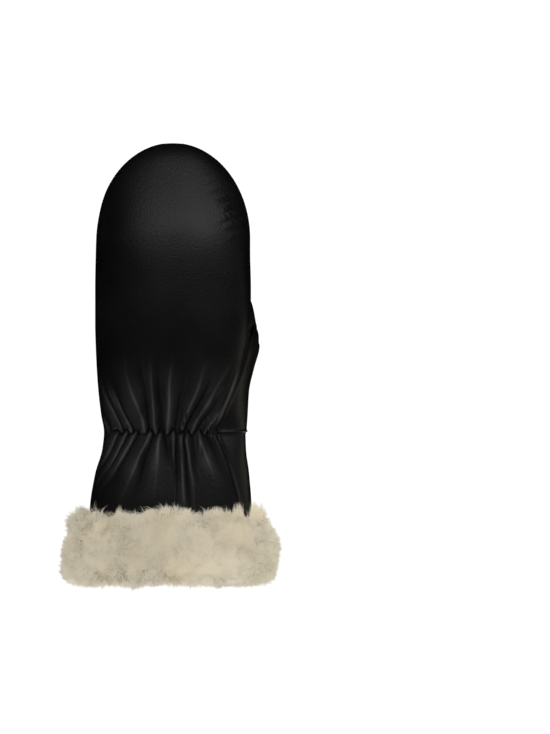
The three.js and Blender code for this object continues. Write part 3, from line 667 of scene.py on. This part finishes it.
def back_panel():
    stations = gauntlet_rows + root_rows[1:] + hand_rows[1:] + tip_rows

    def row_at(y, angle, inset):
        loop = shell_loop(y, angle, inset)
        loop.left_edge += SEAM_GAP / 2
        loop.right_edge += SEAM_GAP / 2
        return strip(loop, seam_turn(loop, -SEAM_GAP / 2), math.pi, BACK_COLUMNS)

    outer, inner = grids(stations, row_at)
    right, left = travel(outer, 1)
    _, to_tip = travel(outer, 0)
    edge = np.minimum(right, left)
    near_edge = smoothstep(edge, 0.5, 8)
    outer += smoothstep(edge, 0, 3)[..., None] * evened(outer, 9.0, 30, 125)
    folds, painted_highlight, painted_shade = gathers(outer)
    wrinkled = wrinkles(outer, right)
    detail = near_edge * folds + rolled(np.minimum(edge, to_tip)) - WRINKLE_DEPTH * wrinkled
    detail += 0.25 * noise(outer, 26.0, seed=31) * near_edge
    # Painted shade in the wrinkles too.
    painted_shade = np.maximum(near_edge * painted_shade, 0.7 * wrinkled)
    # A painted highlight also runs along the seam's lip beside the gathers.
    y = outer[..., 1]
    lip_highlight = bell(right, SEAM_LIP, 0.9) * smoothstep(y, 3, 12) * (1 - smoothstep(y, 30, 48))
    painted_highlight = np.maximum(near_edge * painted_highlight, 0.7 * lip_highlight)
    outer = outer + normals_of(outer) * detail[..., None]
    # Red holds the painted highlight and green the painted shade.
    return wall("leather_back", outer, inner, highlight_and_shade=np.stack([painted_highlight, painted_shade, 0 * painted_shade], -1))


def palm_row(y, angle, inset):
    loop = hand_loop(y, angle, inset)
    loop.left_edge -= SEAM_GAP / 2
    loop.right_edge -= SEAM_GAP
    end = slope_top(loop.y) - WALL_LEAN * inset if loop.y > CROTCH_HEIGHT else WELT - SEAM_GAP / 2
    width = taper_width(angle)
    slope_ends = (end - THUMB_SLOPE, end)
    foot, top = (turn_at(loop, loop.centre + (x - loop.centre) * width, "lower") for x in slope_ends)
    flat, slope, over = PALM_COLUMNS
    return np.concatenate([
        strip(loop, math.pi, foot, flat),
        strip(loop, foot, top, slope)[1:],
        strip(loop, top, 2 * math.pi, over)[1:],
    ])


def palm_panel():
    stations = sewn_root + hand_rows[1:] + tip_rows
    outer, inner = grids(stations, palm_row)
    left_columns = (PALM_COLUMNS[0] + PALM_COLUMNS[1]) // 2
    root_cells = len(root_rows) // 2
    far, near = travel(outer, 1)
    below, to_tip = travel(outer, 0)
    edge = np.minimum(far, near)
    detail = rolled(np.minimum(edge, np.minimum(below, to_tip)))
    detail += 0.3 * noise(outer, 22.0, seed=41) * smoothstep(edge, 0, 6)
    welt = np.linalg.norm(outer - outer[:, [2 * left_columns]], axis=-1)
    low = outer[..., 1] <= CROTCH_HEIGHT
    detail += np.where(low, rolled(welt), 0)
    outer = outer + normals_of(outer) * detail[..., None]
    return wall("leather_palm", outer, inner, hole=(root_cells, left_columns))


def widened(row, outline):
    """A row of the thumb with its thumb side moved out to an outline."""
    widest = row[:, 0].max()
    row[:, 0] += (outline - widest) * smoothstep(row[:, 0], WELT, widest)
    return row


def thumb_front():
    stations = sewn_root + free_thumb_rows[1:]

    def root_row(loop):
        start = turn_at(loop, WELT + SEAM_GAP / 2, "lower")
        row = strip(loop, start, 2 * math.pi + seam_turn(loop, SEAM_GAP), THUMB_FRONT_COLUMNS)
        fork = smoothstep(loop.y, CROTCH_HEIGHT - FORK_LEAD, CROTCH_HEIGHT)
        return widened(row, lerp(row[:, 0].max(), thumb.right(0) * HALF_WIDTH - loop.inset, fork))

    def row_at(y, angle, inset):
        if y <= CROTCH_HEIGHT and not angle:
            return root_row(shell_loop(y, 0, inset))
        loop = thumb_loop(y, angle, inset)
        loop.left_edge -= SEAM_GAP / 2
        loop.right_edge -= SEAM_GAP / 2
        free = strip(loop, math.pi, 2 * math.pi, THUMB_FRONT_COLUMNS)
        share = float(smoothstep(loop.y, CROTCH_HEIGHT, CROTCH_HEIGHT + FORK_BLEND))
        if share >= 1:
            return free
        root = root_row(shell_loop(CROTCH_HEIGHT, 0, inset))
        root[:, 1] = loop.y
        return widened(lerp(root, free, share), lerp(root[:, 0].max(), free[:, 0].max(), share))

    outer, inner = grids(stations, row_at)
    first, last = travel(outer, 1)
    below, _ = travel(outer, 0)
    detail = rolled(first) + rolled(last) + rolled(below, 0.6, 1.2)
    detail += 0.08 * bell(below, 3, 1.2)
    detail += 0.25 * noise(outer, 18.0, seed=51) * smoothstep(np.minimum(first, last), 0, 5)
    outer = outer + normals_of(outer) * detail[..., None]
    outer[..., 2] = np.maximum(outer[..., 2], 0)
    return wall("leather_thumb_front", outer, inner)


def thumb_back():
    def row_at(y, angle, inset):
        palm = hand_loop(CROTCH_HEIGHT)
        start = turn_at(palm, seam_x(palm.y) - LEATHER, "lower")
        end = turn_at(palm, WELT + 2 * LEATHER + 2 * SEAM_GAP, "lower")
        first = strip(palm, start, end, THUMB_BACK_COLUMNS)
        first[:, 2] -= THUMB_CLEARANCE + inset
        if y <= CROTCH_HEIGHT and not angle:
            return first
        loop = thumb_loop(y, angle, inset)
        tuck = 1 - float(smoothstep(loop.y, CROTCH_HEIGHT + THUMB_SLOPE / 2, CROTCH_HEIGHT + THUMB_SLOPE))
        loop.centre -= LEATHER * tuck
        loop.half -= LEATHER * tuck
        loop.left_edge += SEAM_GAP / 2
        loop.right_edge = min(loop.right_edge, FREE_SHOULDER * THUMB_THICKNESS) + SEAM_GAP / 2
        free = strip(loop, 0, math.pi, THUMB_BACK_COLUMNS)
        share = float(smoothstep(loop.y, CROTCH_HEIGHT, CROTCH_HEIGHT + FORK_BLEND))
        if share >= 1:
            return free
        first[:, 1] = loop.y
        return lerp(first, free, share)

    outer, inner = grids(free_thumb_rows, row_at)
    first, last = travel(outer, 1)
    detail = rolled(first) + rolled(last) + 0.2 * noise(outer, 15.0, seed=61) - 0.2
    outer = outer + normals_of(outer) * detail[..., None]
    return wall("leather_thumb_back", outer, inner)


def gauntlet_palm():
    stations = [(min(y, -SEAM_GAP / 2), angle) for y, angle in gauntlet_rows]

    def row_at(y, angle, inset):
        step = WRIST_STEP * float(smoothstep(y, -GAUNTLET_LENGTH / 4, 0))
        loop = shell_loop(y, 0, inset + step)
        loop.left_edge -= SEAM_GAP / 2
        end = 2 * math.pi + seam_turn(loop, (SEAM_GAP + step) / 2)
        return strip(loop, math.pi, end, GAUNTLET_COLUMNS)

    outer, inner = grids(stations, row_at)
    first, last = travel(outer, 1)
    _, above = travel(outer, 0)
    soft = smoothstep(np.minimum(first, last), 0, 5)
    folds = noise(np.stack([outer[..., 0] / 5, outer[..., 1] / 30], -1), 1.0, seed=71)
    detail = rolled(first) + rolled(last) + rolled(above, 0.5, 1.0)
    detail += 0.5 * soft * folds * bell(outer[..., 1], -12, 18)
    detail += 0.25 * noise(outer, 20.0, seed=72) * soft
    outer = outer + normals_of(outer) * detail[..., None]
    return wall("leather_gauntlet", outer, inner)


def sleeve_grid(profile, around):
    """Rings of a sleeve, closed on themselves, for a profile of (y, inset)."""
    rings = []
    for y, inset in profile:
        loop = shell_loop(y, 0, inset)
        loop.inset = max(inset, 0)
        rings.append(strip(loop, 0, 2 * math.pi, around)[:-1])
    return np.stack(rings)


def resampled(profile, count):
    """A profile divided evenly, as points of (y, inset)."""
    points = np.array(profile, float)
    steps = np.linalg.norm(np.diff(points, axis=0), axis=1)
    travelled = np.concatenate([[0], np.cumsum(steps)])
    wanted = np.linspace(0, travelled[-1], count)
    y, inset = (np.interp(wanted, travelled, column).tolist() for column in points.T)
    return list(zip(y, inset))


def ring_faces(rings, around):
    """Faces of a grid of closed rings, whose last ring joins its first."""
    faces = []
    for i in range(rings):
        row = i * around
        following = (i + 1) % rings * around
        for j in range(around):
            k = (j + 1) % around
            faces.append((row + j, row + k, following + k, following + j))
    return faces


def cuff_profile(sink):
    """The band from its free edge round the fold to the lining, with its pile side sunk in."""
    pile = CUFF_PILE - sink
    profile = [(CUFF_EDGE - sink, -CUFF_CLEARANCE)]
    for out, down in CUFF_BAND:
        y = CUFF_EDGE - down * CUFF_TURN
        y = lerp(y, FOLD_END + CUFF_TURN / 2, sink / (CUFF_TURN / 2)) - 0.5
        profile.append((y, -out * pile))
    profile += [
        (FOLD_END + 1.1 * sink, 0.0),
        (FOLD_END + FOLD_DEPTH / 3 + 0.6 * sink, LINING_INSIDE * 0.8 - 0.3 * sink),
        (LINING_START, LINING_INSIDE - 0.3 * sink),
    ]
    return profile


def ring_normals(grid):
    """Outward unit normals of a grid of closed rings."""
    return unit(np.cross(np.roll(grid, -1, 1) - np.roll(grid, 1, 1), np.gradient(grid, axis=0)))


def swept(grid, outside):
    """The band's sides and bottom corners stand out, and its free edge waves."""
    x = grid[..., 0]
    down = -grid[..., 1]
    left = LEFT_CORNER * smoothstep(down, 66, 90)
    right = RIGHT_CORNER * smoothstep(down, 62, 85)
    side = np.where(x < 0, left, right)
    side += BOTTOM_CORNERS * smoothstep(down, 90, 101)
    side += np.where(x < 0, LEFT_BULGE, 0.0) * bell(down, 56, 8)
    moved = grid.copy()
    moved[..., 0] += outside[:, None] * np.sign(x) * smoothstep(np.abs(x), 40, 62) * side
    edge = outside[:, None] * (1 - smoothstep(down, 60, 80))
    wave = EDGE_RISE * bell(x, -3, 15) - lerp(*EDGE_SAG, smoothstep(x, 0, 20))
    moved[..., 1] += edge * (wave + EDGE_WAVE * noise(x[..., None], 6.0, seed=83))
    return moved


def cuff_ground():
    """The felted ground of the cuff: a lumpy ring round the hem."""
    pile_side = resampled(cuff_profile(BASE_SINK), CUFF_RINGS)
    hem = -GAUNTLET_LENGTH - SEAM_GAP
    back_side = [(LINING_START, LINING_OUTSIDE), (hem, LINING_OUTSIDE), (hem, -CUFF_CLEARANCE)]
    profile = pile_side + back_side
    outside = np.array([min(max(-inset / 4, 0), 1) for _, inset in profile])
    grid = swept(sleeve_grid(profile, CUFF_COLUMNS), outside)
    normal = ring_normals(grid)
    rows = len(pile_side)
    ease = np.zeros(len(grid))
    ease[:rows] = np.sin(np.linspace(0, math.pi, rows)) ** 0.5
    lumps = 1.8 * noise(grid, 15.0, seed=81) + 0.4 * noise(grid, 5.0, seed=82)
    moved = grid + normal * (lumps * ease[:, None])[..., None]
    moved[..., 2] = np.maximum(moved[..., 2], 0.3)
    ground = make_mesh("cuff_ground", placed(moved), ring_faces(len(grid), CUFF_COLUMNS), sharp=None)
    return ground, moved[:rows], unit(ring_normals(moved) + 2.5 * normal)[:rows]


def lining_sleeve():
    """The lining's ground: one sleeve from the fold of the cuff to past the elastic."""
    start = LINING_START + SEAM_GAP
    outside_rings, inside_rings = LINING_RINGS
    outside = resampled([(start, LINING_OUTSIDE), (LINING_LENGTH, LINING_OUTSIDE)], outside_rings)
    inside = resampled([(LINING_LENGTH, LINING_INSIDE), (start, LINING_INSIDE)], inside_rings)
    grid = sleeve_grid(outside + inside, LINING_COLUMNS)
    normal = ring_normals(grid)
    lumps = np.zeros(grid.shape[:2])
    lumps[outside_rings:] = 0.5 * noise(grid[outside_rings:], 5.0, seed=91) - 0.3
    grid = grid + normal * lumps[..., None]
    faces = ring_faces(len(grid), LINING_COLUMNS)
    sleeve = make_mesh("lining_ground", placed(grid), faces, sharp=None)
    return sleeve, grid[outside_rings:], normal[outside_rings:]


def fibre_mesh(name, roots, middles, tips, side, tone, facing):
    """Flat tapering fibres, which take the light as the pile they belong to does."""
    count = len(roots)
    narrow = 0.75 * side
    points = np.stack([roots - side, roots + side, middles + narrow, middles - narrow, tips], axis=1)
    along = np.array([0.0, 0.0, 0.55, 0.55, 1.0])  # how far from root to tip each point lies
    points[..., 2] = np.maximum(points[..., 2], 0.15)
    first = np.arange(count)[:, None] * len(along)
    loops = (first + [0, 1, 2, 3, 3, 2, 4]).reshape(-1)
    totals = np.tile([4, 3], count)  # the corners of a fibre's lower face and of its tip
    starts = np.cumsum(totals) - totals
    mesh = bpy.data.meshes.new(name)
    mesh.vertices.add(count * len(along))
    mesh.vertices.foreach_set("co", placed(points).astype(np.float32).reshape(-1))
    mesh.loops.add(len(loops))
    mesh.loops.foreach_set("vertex_index", loops.astype(np.int32))
    mesh.polygons.add(len(starts))
    mesh.polygons.foreach_set("loop_start", starts.astype(np.int32))
    mesh.polygons.foreach_set("loop_total", totals.astype(np.int32))
    mesh.polygons.foreach_set("use_smooth", [True] * len(starts))
    shades = mesh.color_attributes.new("tone", "FLOAT_COLOR", "POINT")
    colour = np.ones((count, len(along), 4), np.float32)
    colour[..., 0] = along
    colour[..., 1] = tone[:, None]
    shades.data.foreach_set("color", colour.reshape(-1))
    mesh.update()
    mesh.normals_split_custom_set_from_vertices(np.repeat(facing, len(along), axis=0))
    piece = linked(name, mesh)
    piece.visible_shadow = False  # light reaches into real pile
    return piece


def rooted(grid, normal, count, rng, weight=None):
    """Random roots over a grid of rings, even by area, with their normals."""
    a = np.linalg.norm(np.roll(grid, -1, 1)[:-1] - grid[:-1], axis=-1)
    b = np.linalg.norm(np.diff(grid, axis=0), axis=-1)
    area = a * b
    if weight is not None:
        area = area * weight[:-1]
    chance = (area / area.sum()).reshape(-1)
    pick = rng.choice(len(chance), size=count, p=chance)
    i = pick // grid.shape[1]
    j = pick % grid.shape[1]
    k = (j + 1) % grid.shape[1]
    u = rng.random(count)[:, None]
    v = rng.random(count)[:, None]

    def mix(g):
        return lerp(lerp(g[i, j], g[i, k], u), lerp(g[i + 1, j], g[i + 1, k], u), v)

    return mix(grid), unit(mix(normal))


def nearest_of(points, seeds):
    """The index of the nearest seed to each point, and how far away it is."""
    tree = KDTree(len(seeds))
    for n, seed in enumerate(seeds):
        tree.insert(seed, n)
    tree.balance()
    found = [tree.find(p) for p in points]
    return np.array([hit[1] for hit in found]), np.array([hit[2] for hit in found])


def cuff_pile(grid, normal):
    """The pile of the cuff, in fine fibres that lean together in soft curled locks."""
    rng = np.random.default_rng(7)
    weight = np.ones(grid.shape[:2])
    weight[grid[..., 2] < 1.0] = 0.25  # pressed flat on the table
    weight[:8] = 1.8
    locks, lock_normals = rooted(grid, normal, LOCKS, rng, weight)
    roots, out = rooted(grid, normal, CUFF_FIBRES, rng, weight)
    own, away = nearest_of(roots, locks)

    def comb(points):
        flow = noise_vectors(points, 19.0, seed=101) * np.array([1, 1, 0.5])
        return flow + 0.45 * noise_vectors(points, 6.0, seed=106)

    def reach(points):
        uneven = noise(points, 12.0, seed=104) + noise(points, 4.5, seed=109)
        return BASE_SINK * (1.12 + 0.2 * uneven)

    lock_tips = locks + unit(lock_normals + comb(locks)) * (1.15 * reach(locks))[:, None]
    curl = unit(np.cross(lock_normals, rng.normal(size=locks.shape))) * CURL
    stray = rng.random(CUFF_FIBRES) < STRAY
    wisp = (roots[:, 1] > CUFF_EDGE - 2.2 * BASE_SINK) & (rng.random(CUFF_FIBRES) < 0.3)
    length = reach(roots) * (0.6 + 0.5 * rng.random(CUFF_FIBRES))
    length *= np.where(wisp, 1.1 + 0.7 * rng.random(CUFF_FIBRES) ** 2, np.where(stray, 1.3, 1.0))
    lean = unit(out + comb(roots) + np.where(stray, 0.45, 0.28)[:, None] * rng.normal(size=roots.shape))
    straight = roots + lean * length[:, None]
    gathered = np.where(stray | (away > 6), 0.0, 0.1 + 0.3 * rng.random(CUFF_FIBRES))[:, None]
    tips = lerp(straight, lock_tips[own], gathered) + gathered * curl[own]
    middles = lerp(roots, lerp(straight, lock_tips[own], gathered), 0.55) + out * (0.15 * length)[:, None]
    edge = grid[:3].mean(axis=0)
    upper = edge[edge[:, 2] > BODY_HEIGHT / 2]
    upper = upper[np.argsort(upper[:, 0])]
    for across, up, aside, width in TUFTS:
        y = np.interp(across, upper[:, 0], upper[:, 1])
        z = np.interp(across, upper[:, 0], upper[:, 2])
        near = (np.abs(roots[:, 0] - across) < width) & (roots[:, 1] > y - 5) & (roots[:, 2] > z - 9)
        near &= rng.random(CUFF_FIBRES) < 0.36
        count = int(near.sum())
        height = up * (0.1 + 1.25 * rng.random(count) ** 2.2)
        top = np.empty((count, 3))
        top[:, 0] = lerp(roots[near, 0], across + aside, 0.45) + 0.8 * rng.normal(size=count)
        top[:, 1] = y + 1.5 + height
        top[:, 2] = z + 2.5 + 1.5 * rng.normal(size=count)
        tips[near] = top
        middles[near] = lerp(roots[near], top, 0.5) + 1.5 * out[near]
        middles[near, 0] += 0.7 * rng.normal(size=count)
    tone = np.clip(0.6 + 0.3 * noise(roots, 13.0, seed=105) + 0.1 * rng.normal(size=CUFF_FIBRES), 0, 1)
    facing = unit(out + np.array([0, 0, 0.45]) + 0.15 * lean + 0.12 * rng.normal(size=roots.shape))
    side = unit(np.cross(tips - roots, facing)) * CUFF_FIBRE_WIDTH
    columns = (roots - out * 0.8, middles, tips, side, tone, facing)
    pieces = []
    for n in range(CUFF_PIECES):
        pieces.append(fibre_mesh(f"cuff_pile_{n + 1}", *(column[n::CUFF_PIECES] for column in columns)))
    return pieces


def lining_pile(grid, normal):
    """Short pile inside the lining, which shows in the mouth."""
    rng = np.random.default_rng(8)
    roots, out = rooted(grid, normal, LINING_FIBRES, rng)
    comb = noise_vectors(roots, 8.0, seed=111)
    lean = unit(out + 0.8 * comb + 0.3 * rng.normal(size=roots.shape))
    length = LINING_REACH * (0.6 + 0.6 * rng.random(LINING_FIBRES))[:, None]
    tips = roots + lean * length
    middles = lerp(roots, tips, 0.5) + out * (0.15 * length)
    facing = unit(out + 0.2 * rng.normal(size=roots.shape))
    side = unit(np.cross(tips - roots, facing)) * LINING_FIBRE_WIDTH
    tone = np.clip(0.5 + 0.15 * rng.normal(size=LINING_FIBRES), 0, 1)
    return fibre_mesh("lining_pile", roots - 0.6 * out, middles, tips, side, tone, facing)


def nodes_of(name):
    material = bpy.data.materials.new(name)
    material.use_nodes = True
    tree = material.node_tree
    shader = tree.nodes["Principled BSDF"]
    return material, tree, shader


def clouds(tree, scale, detail):
    """Cloudy noise over a piece's own coordinates."""
    place = tree.nodes.new("ShaderNodeTexCoord")
    texture = tree.nodes.new("ShaderNodeTexNoise")
    texture.inputs["Scale"].default_value = scale
    texture.inputs["Detail"].default_value = detail
    tree.links.new(place.outputs["Object"], texture.inputs["Vector"])
    return texture.outputs["Fac"]


def shades(tree, layer):
    """The red and the green of a piece's colour attribute."""
    attribute = tree.nodes.new("ShaderNodeVertexColor")
    attribute.layer_name = layer
    parts = tree.nodes.new("ShaderNodeSeparateColor")
    tree.links.new(attribute.outputs["Color"], parts.inputs["Color"])
    return parts.outputs["Red"], parts.outputs["Green"]


def ramp(tree, value, *stops):
    """A colour between two stops of (place, colour), by a value."""
    node = tree.nodes.new("ShaderNodeValToRGB")
    for element, (place, colour) in zip(node.color_ramp.elements, stops):
        element.position = place
        element.color = colour
    tree.links.new(value, node.inputs["Fac"])
    return node.outputs["Color"]


MIX_SOCKETS = {"FLOAT": (0, 2, 3), "RGBA": (0, 6, 7)}
MIX_RESULT = {"FLOAT": 0, "RGBA": 2}


def mix(tree, kind, share, first, second, blend="MIX"):
    """Mixes two numbers or colours, each a fixed value or another node's output."""
    node = tree.nodes.new("ShaderNodeMix")
    node.data_type = kind
    node.blend_type = blend
    for socket, value in zip(MIX_SOCKETS[kind], (share, first, second)):
        if isinstance(value, bpy.types.NodeSocket):
            tree.links.new(value, node.inputs[socket])
        else:
            node.inputs[socket].default_value = value
    return node.outputs[MIX_RESULT[kind]]


def raise_bumps(tree, shader, height, strength, distance):
    bump = tree.nodes.new("ShaderNodeBump")
    bump.inputs["Strength"].default_value = strength
    bump.inputs["Distance"].default_value = distance
    tree.links.new(height, bump.inputs["Height"])
    tree.links.new(bump.outputs["Normal"], shader.inputs["Normal"])


LEATHER_ROUGHNESS = (0.38, 0.54)  # the least and the most

# Colours as linear red, green, blue and alpha.
LEATHER_DARK = (0.0022, 0.0022, 0.0026, 1)
LEATHER_LIGHT = (0.0045, 0.0044, 0.0046, 1)
# Painted highlight for the fold crests and the seam's lip.
LEATHER_PAINTED_HIGHLIGHT = (0.08, 0.08, 0.082, 1)
# Painted shade for the grooves, the elastic's pinch and the wrinkles.
LEATHER_PAINTED_SHADE = (0.0002, 0.0002, 0.0002, 1)
GROUND_DARK = (0.78, 0.68, 0.48, 1)
GROUND_LIGHT = (0.9, 0.83, 0.65, 1)
# Partly the fibres' own colour, partly painted shade and warm bounce light deep in the pile.
FIBRE_ROOT_SHADED = (0.9, 0.82, 0.65, 1)
FIBRE_TIP = (0.96, 0.92, 0.8, 1)
FIBRE_WARM = (1.0, 0.94, 0.81, 1)
WHITE = (1.0, 1.0, 1.0, 1)


def black_leather():
    """Smooth nappa: near black, softly shiny, with a fine grain and cloudy wear, a painted highlight along
    the fold crests and painted shade in the creases.
    """
    material, tree, shader = nodes_of("black_leather")
    cloudy = clouds(tree, 28, 6)
    painted_highlight, shade_mask = shades(tree, "highlight_and_shade")
    tint = ramp(tree, cloudy, (0.32, LEATHER_DARK), (0.72, LEATHER_LIGHT))
    # Painted highlight, lighter along the fold crests and the seam's lip.
    highlighted = mix(tree, "RGBA", painted_highlight, tint, LEATHER_PAINTED_HIGHLIGHT)
    # Painted shade, near black in the grooves, the pinch and the wrinkles.
    colour = mix(tree, "RGBA", shade_mask, highlighted, LEATHER_PAINTED_SHADE)
    tree.links.new(colour, shader.inputs["Base Color"])
    gloss = tree.nodes.new("ShaderNodeMapRange")
    gloss.inputs["To Min"].default_value = LEATHER_ROUGHNESS[0]
    gloss.inputs["To Max"].default_value = LEATHER_ROUGHNESS[1]
    tree.links.new(cloudy, gloss.inputs["Value"])
    roughness = mix(tree, "FLOAT", shade_mask, gloss.outputs["Result"], 1.0)
    tree.links.new(roughness, shader.inputs["Roughness"])
    place = tree.nodes.new("ShaderNodeTexCoord")
    grain = tree.nodes.new("ShaderNodeTexVoronoi")
    grain.inputs["Scale"].default_value = 750
    tree.links.new(place.outputs["Object"], grain.inputs["Vector"])
    height = mix(tree, "FLOAT", 0.55, grain.outputs["Distance"], clouds(tree, 420, 5))
    raise_bumps(tree, shader, height, 0.34, 0.0005)
    return material


def cream(name):
    """What the pile's fibres and its ground have alike."""
    material, tree, shader = nodes_of(name)
    shader.inputs["Roughness"].default_value = 0.85
    shader.inputs["Specular IOR Level"].default_value = 0.2
    shader.inputs["Sheen Weight"].default_value = 0.25
    shader.inputs["Sheen Roughness"].default_value = 0.5
    return material, tree, shader


def cream_pile():
    """The pile's fibres, warmer and darker at their roots: partly their own colour, partly painted shade and
    warm bounce light deep in the pile.
    """
    material, tree, shader = cream("cream_pile")
    along, tone = shades(tree, "tone")
    pale = ramp(tree, along, (0.0, FIBRE_ROOT_SHADED), (0.8, FIBRE_TIP))
    tint = ramp(tree, tone, (0.0, FIBRE_WARM), (1.0, WHITE))
    colour = mix(tree, "RGBA", 1.0, pale, tint, blend="MULTIPLY")
    tree.links.new(colour, shader.inputs["Base Color"])
    return material


def cream_ground():
    """The felted ground of the pile, cloudy and uneven."""
    material, tree, shader = cream("cream_ground")
    cloudy = clouds(tree, 90, 8)
    tint = ramp(tree, cloudy, (0.3, GROUND_DARK), (0.7, GROUND_LIGHT))
    tree.links.new(tint, shader.inputs["Base Color"])
    raise_bumps(tree, shader, cloudy, 0.6, 0.001)
    return material


def dress(piece, material, slot, *nodes):
    piece.data.materials.append(material)
    if nodes:
        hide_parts(*nodes)
    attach(piece, "root")


leather = black_leather()
pile = cream_pile()
ground = cream_ground()

dress(back_panel(), leather, "leather", "back_panel")
dress(palm_panel(), leather, "leather", "palm_panel")
dress(thumb_front(), leather, "leather", "thumb_front")
dress(thumb_back(), leather, "leather", "thumb_back")
dress(gauntlet_palm(), leather, "leather", "gauntlet_palm")
lining, lining_grid, lining_normal = lining_sleeve()
dress(lining, ground, "pile", "fleece_lining")
dress(lining_pile(lining_grid, lining_normal), pile, "pile")
cuff, cuff_grid, cuff_normal = cuff_ground()
dress(cuff, ground, "pile", "fleece_cuff")
for tuft in cuff_pile(cuff_grid, cuff_normal):
    dress(tuft, pile, "pile")


FLOOR_GLOW = 0.97
SURROUND_LIGHT = 0.44

# Soft lights: name, place and aim in metres, width in metres, power in watts and colour.
LIGHTS = [
    ("key", (0.24, 1.12, 1.35), (0.0, 0.08, 0.0), 1.3, 8.0, (1, 1, 1)),
    ("foot", (0.15, -1.3, 0.6), (0.0, 0.0, 0.0), 0.7, 3.6, (1, 1, 1)),
    ("side", (1.35, 0.1, 0.7), (0.0, 0.0, 0.0), 0.6, 0.3, (1, 1, 1)),
    ("cream_bounce", (0.2, -0.05, 0.05), (0.06, -0.03, 0.02), 0.08, 0.018, (1, 0.92, 0.75)),
]


def stage():
    """A pale floor, soft light from above the fingertips and an even white surround."""
    mesh = bpy.data.meshes.new("floor")
    mesh.from_pydata([(-4, -4, 0), (4, -4, 0), (4, 4, 0), (-4, 4, 0)], [], [(0, 1, 2, 3)])
    floor = linked("floor", mesh)
    floor.location.z = -0.0002
    material, _, shader = nodes_of("floor")
    shader.inputs["Base Color"].default_value = (0.25, 0.25, 0.25, 1)
    shader.inputs["Emission Color"].default_value = (1, 1, 1, 1)
    shader.inputs["Emission Strength"].default_value = FLOOR_GLOW
    shader.inputs["Roughness"].default_value = 1.0
    shader.inputs["Specular IOR Level"].default_value = 0.0
    floor.data.materials.append(material)
    floor.visible_glossy = False

    world = bpy.data.worlds.new("surround")
    bpy.context.scene.world = world
    world.use_nodes = True
    background = world.node_tree.nodes["Background"]
    background.inputs["Color"].default_value = (1, 1, 1, 1)
    background.inputs["Strength"].default_value = SURROUND_LIGHT
    world.cycles_visibility.glossy = False

    for name, place, aim, size, power, colour in LIGHTS:
        lamp = bpy.data.lights.new(name, "AREA")
        lamp.shape = "DISK"
        lamp.size = size
        lamp.energy = power
        lamp.color = colour
        light = linked(name, lamp)
        light.location = place
        light.rotation_euler = (Vector(aim) - light.location).to_track_quat("-Z", "Y").to_euler()


# The photograph, in its own pixels, and where the middle of the elastic lies in it.
PHOTO_WIDTH = 550
PHOTO_HEIGHT = 734
ELASTIC_ACROSS = 172
ELASTIC_DOWN = 432
MILLIMETRES_A_PIXEL = 0.7
CAMERA_HEIGHT = 5.0  # in metres
FOCUS_HEIGHT = 0.03  # in metres, where a pixel has that size
SENSOR_WIDTH = 36


def camera():
    """Straight down on the mitten, which lies left of the middle as in the photograph."""
    data = bpy.data.cameras.new("camera")
    eye = linked("camera", data)
    across = (PHOTO_WIDTH / 2 - ELASTIC_ACROSS) * MILLIMETRES_A_PIXEL + SHIFT[0]
    up = (ELASTIC_DOWN - PHOTO_HEIGHT / 2) * MILLIMETRES_A_PIXEL + SHIFT[1]
    view_width = PHOTO_WIDTH * MILLIMETRES_A_PIXEL / 1000
    data.sensor_fit = "HORIZONTAL"
    data.sensor_width = SENSOR_WIDTH
    data.lens = SENSOR_WIDTH * (CAMERA_HEIGHT - FOCUS_HEIGHT) / view_width
    data.clip_end = 50
    eye.location = (across / 1000, up / 1000, CAMERA_HEIGHT)
    bpy.context.scene.camera = eye


stage()
camera()
bpy.context.scene.view_settings.view_transform = "Standard"
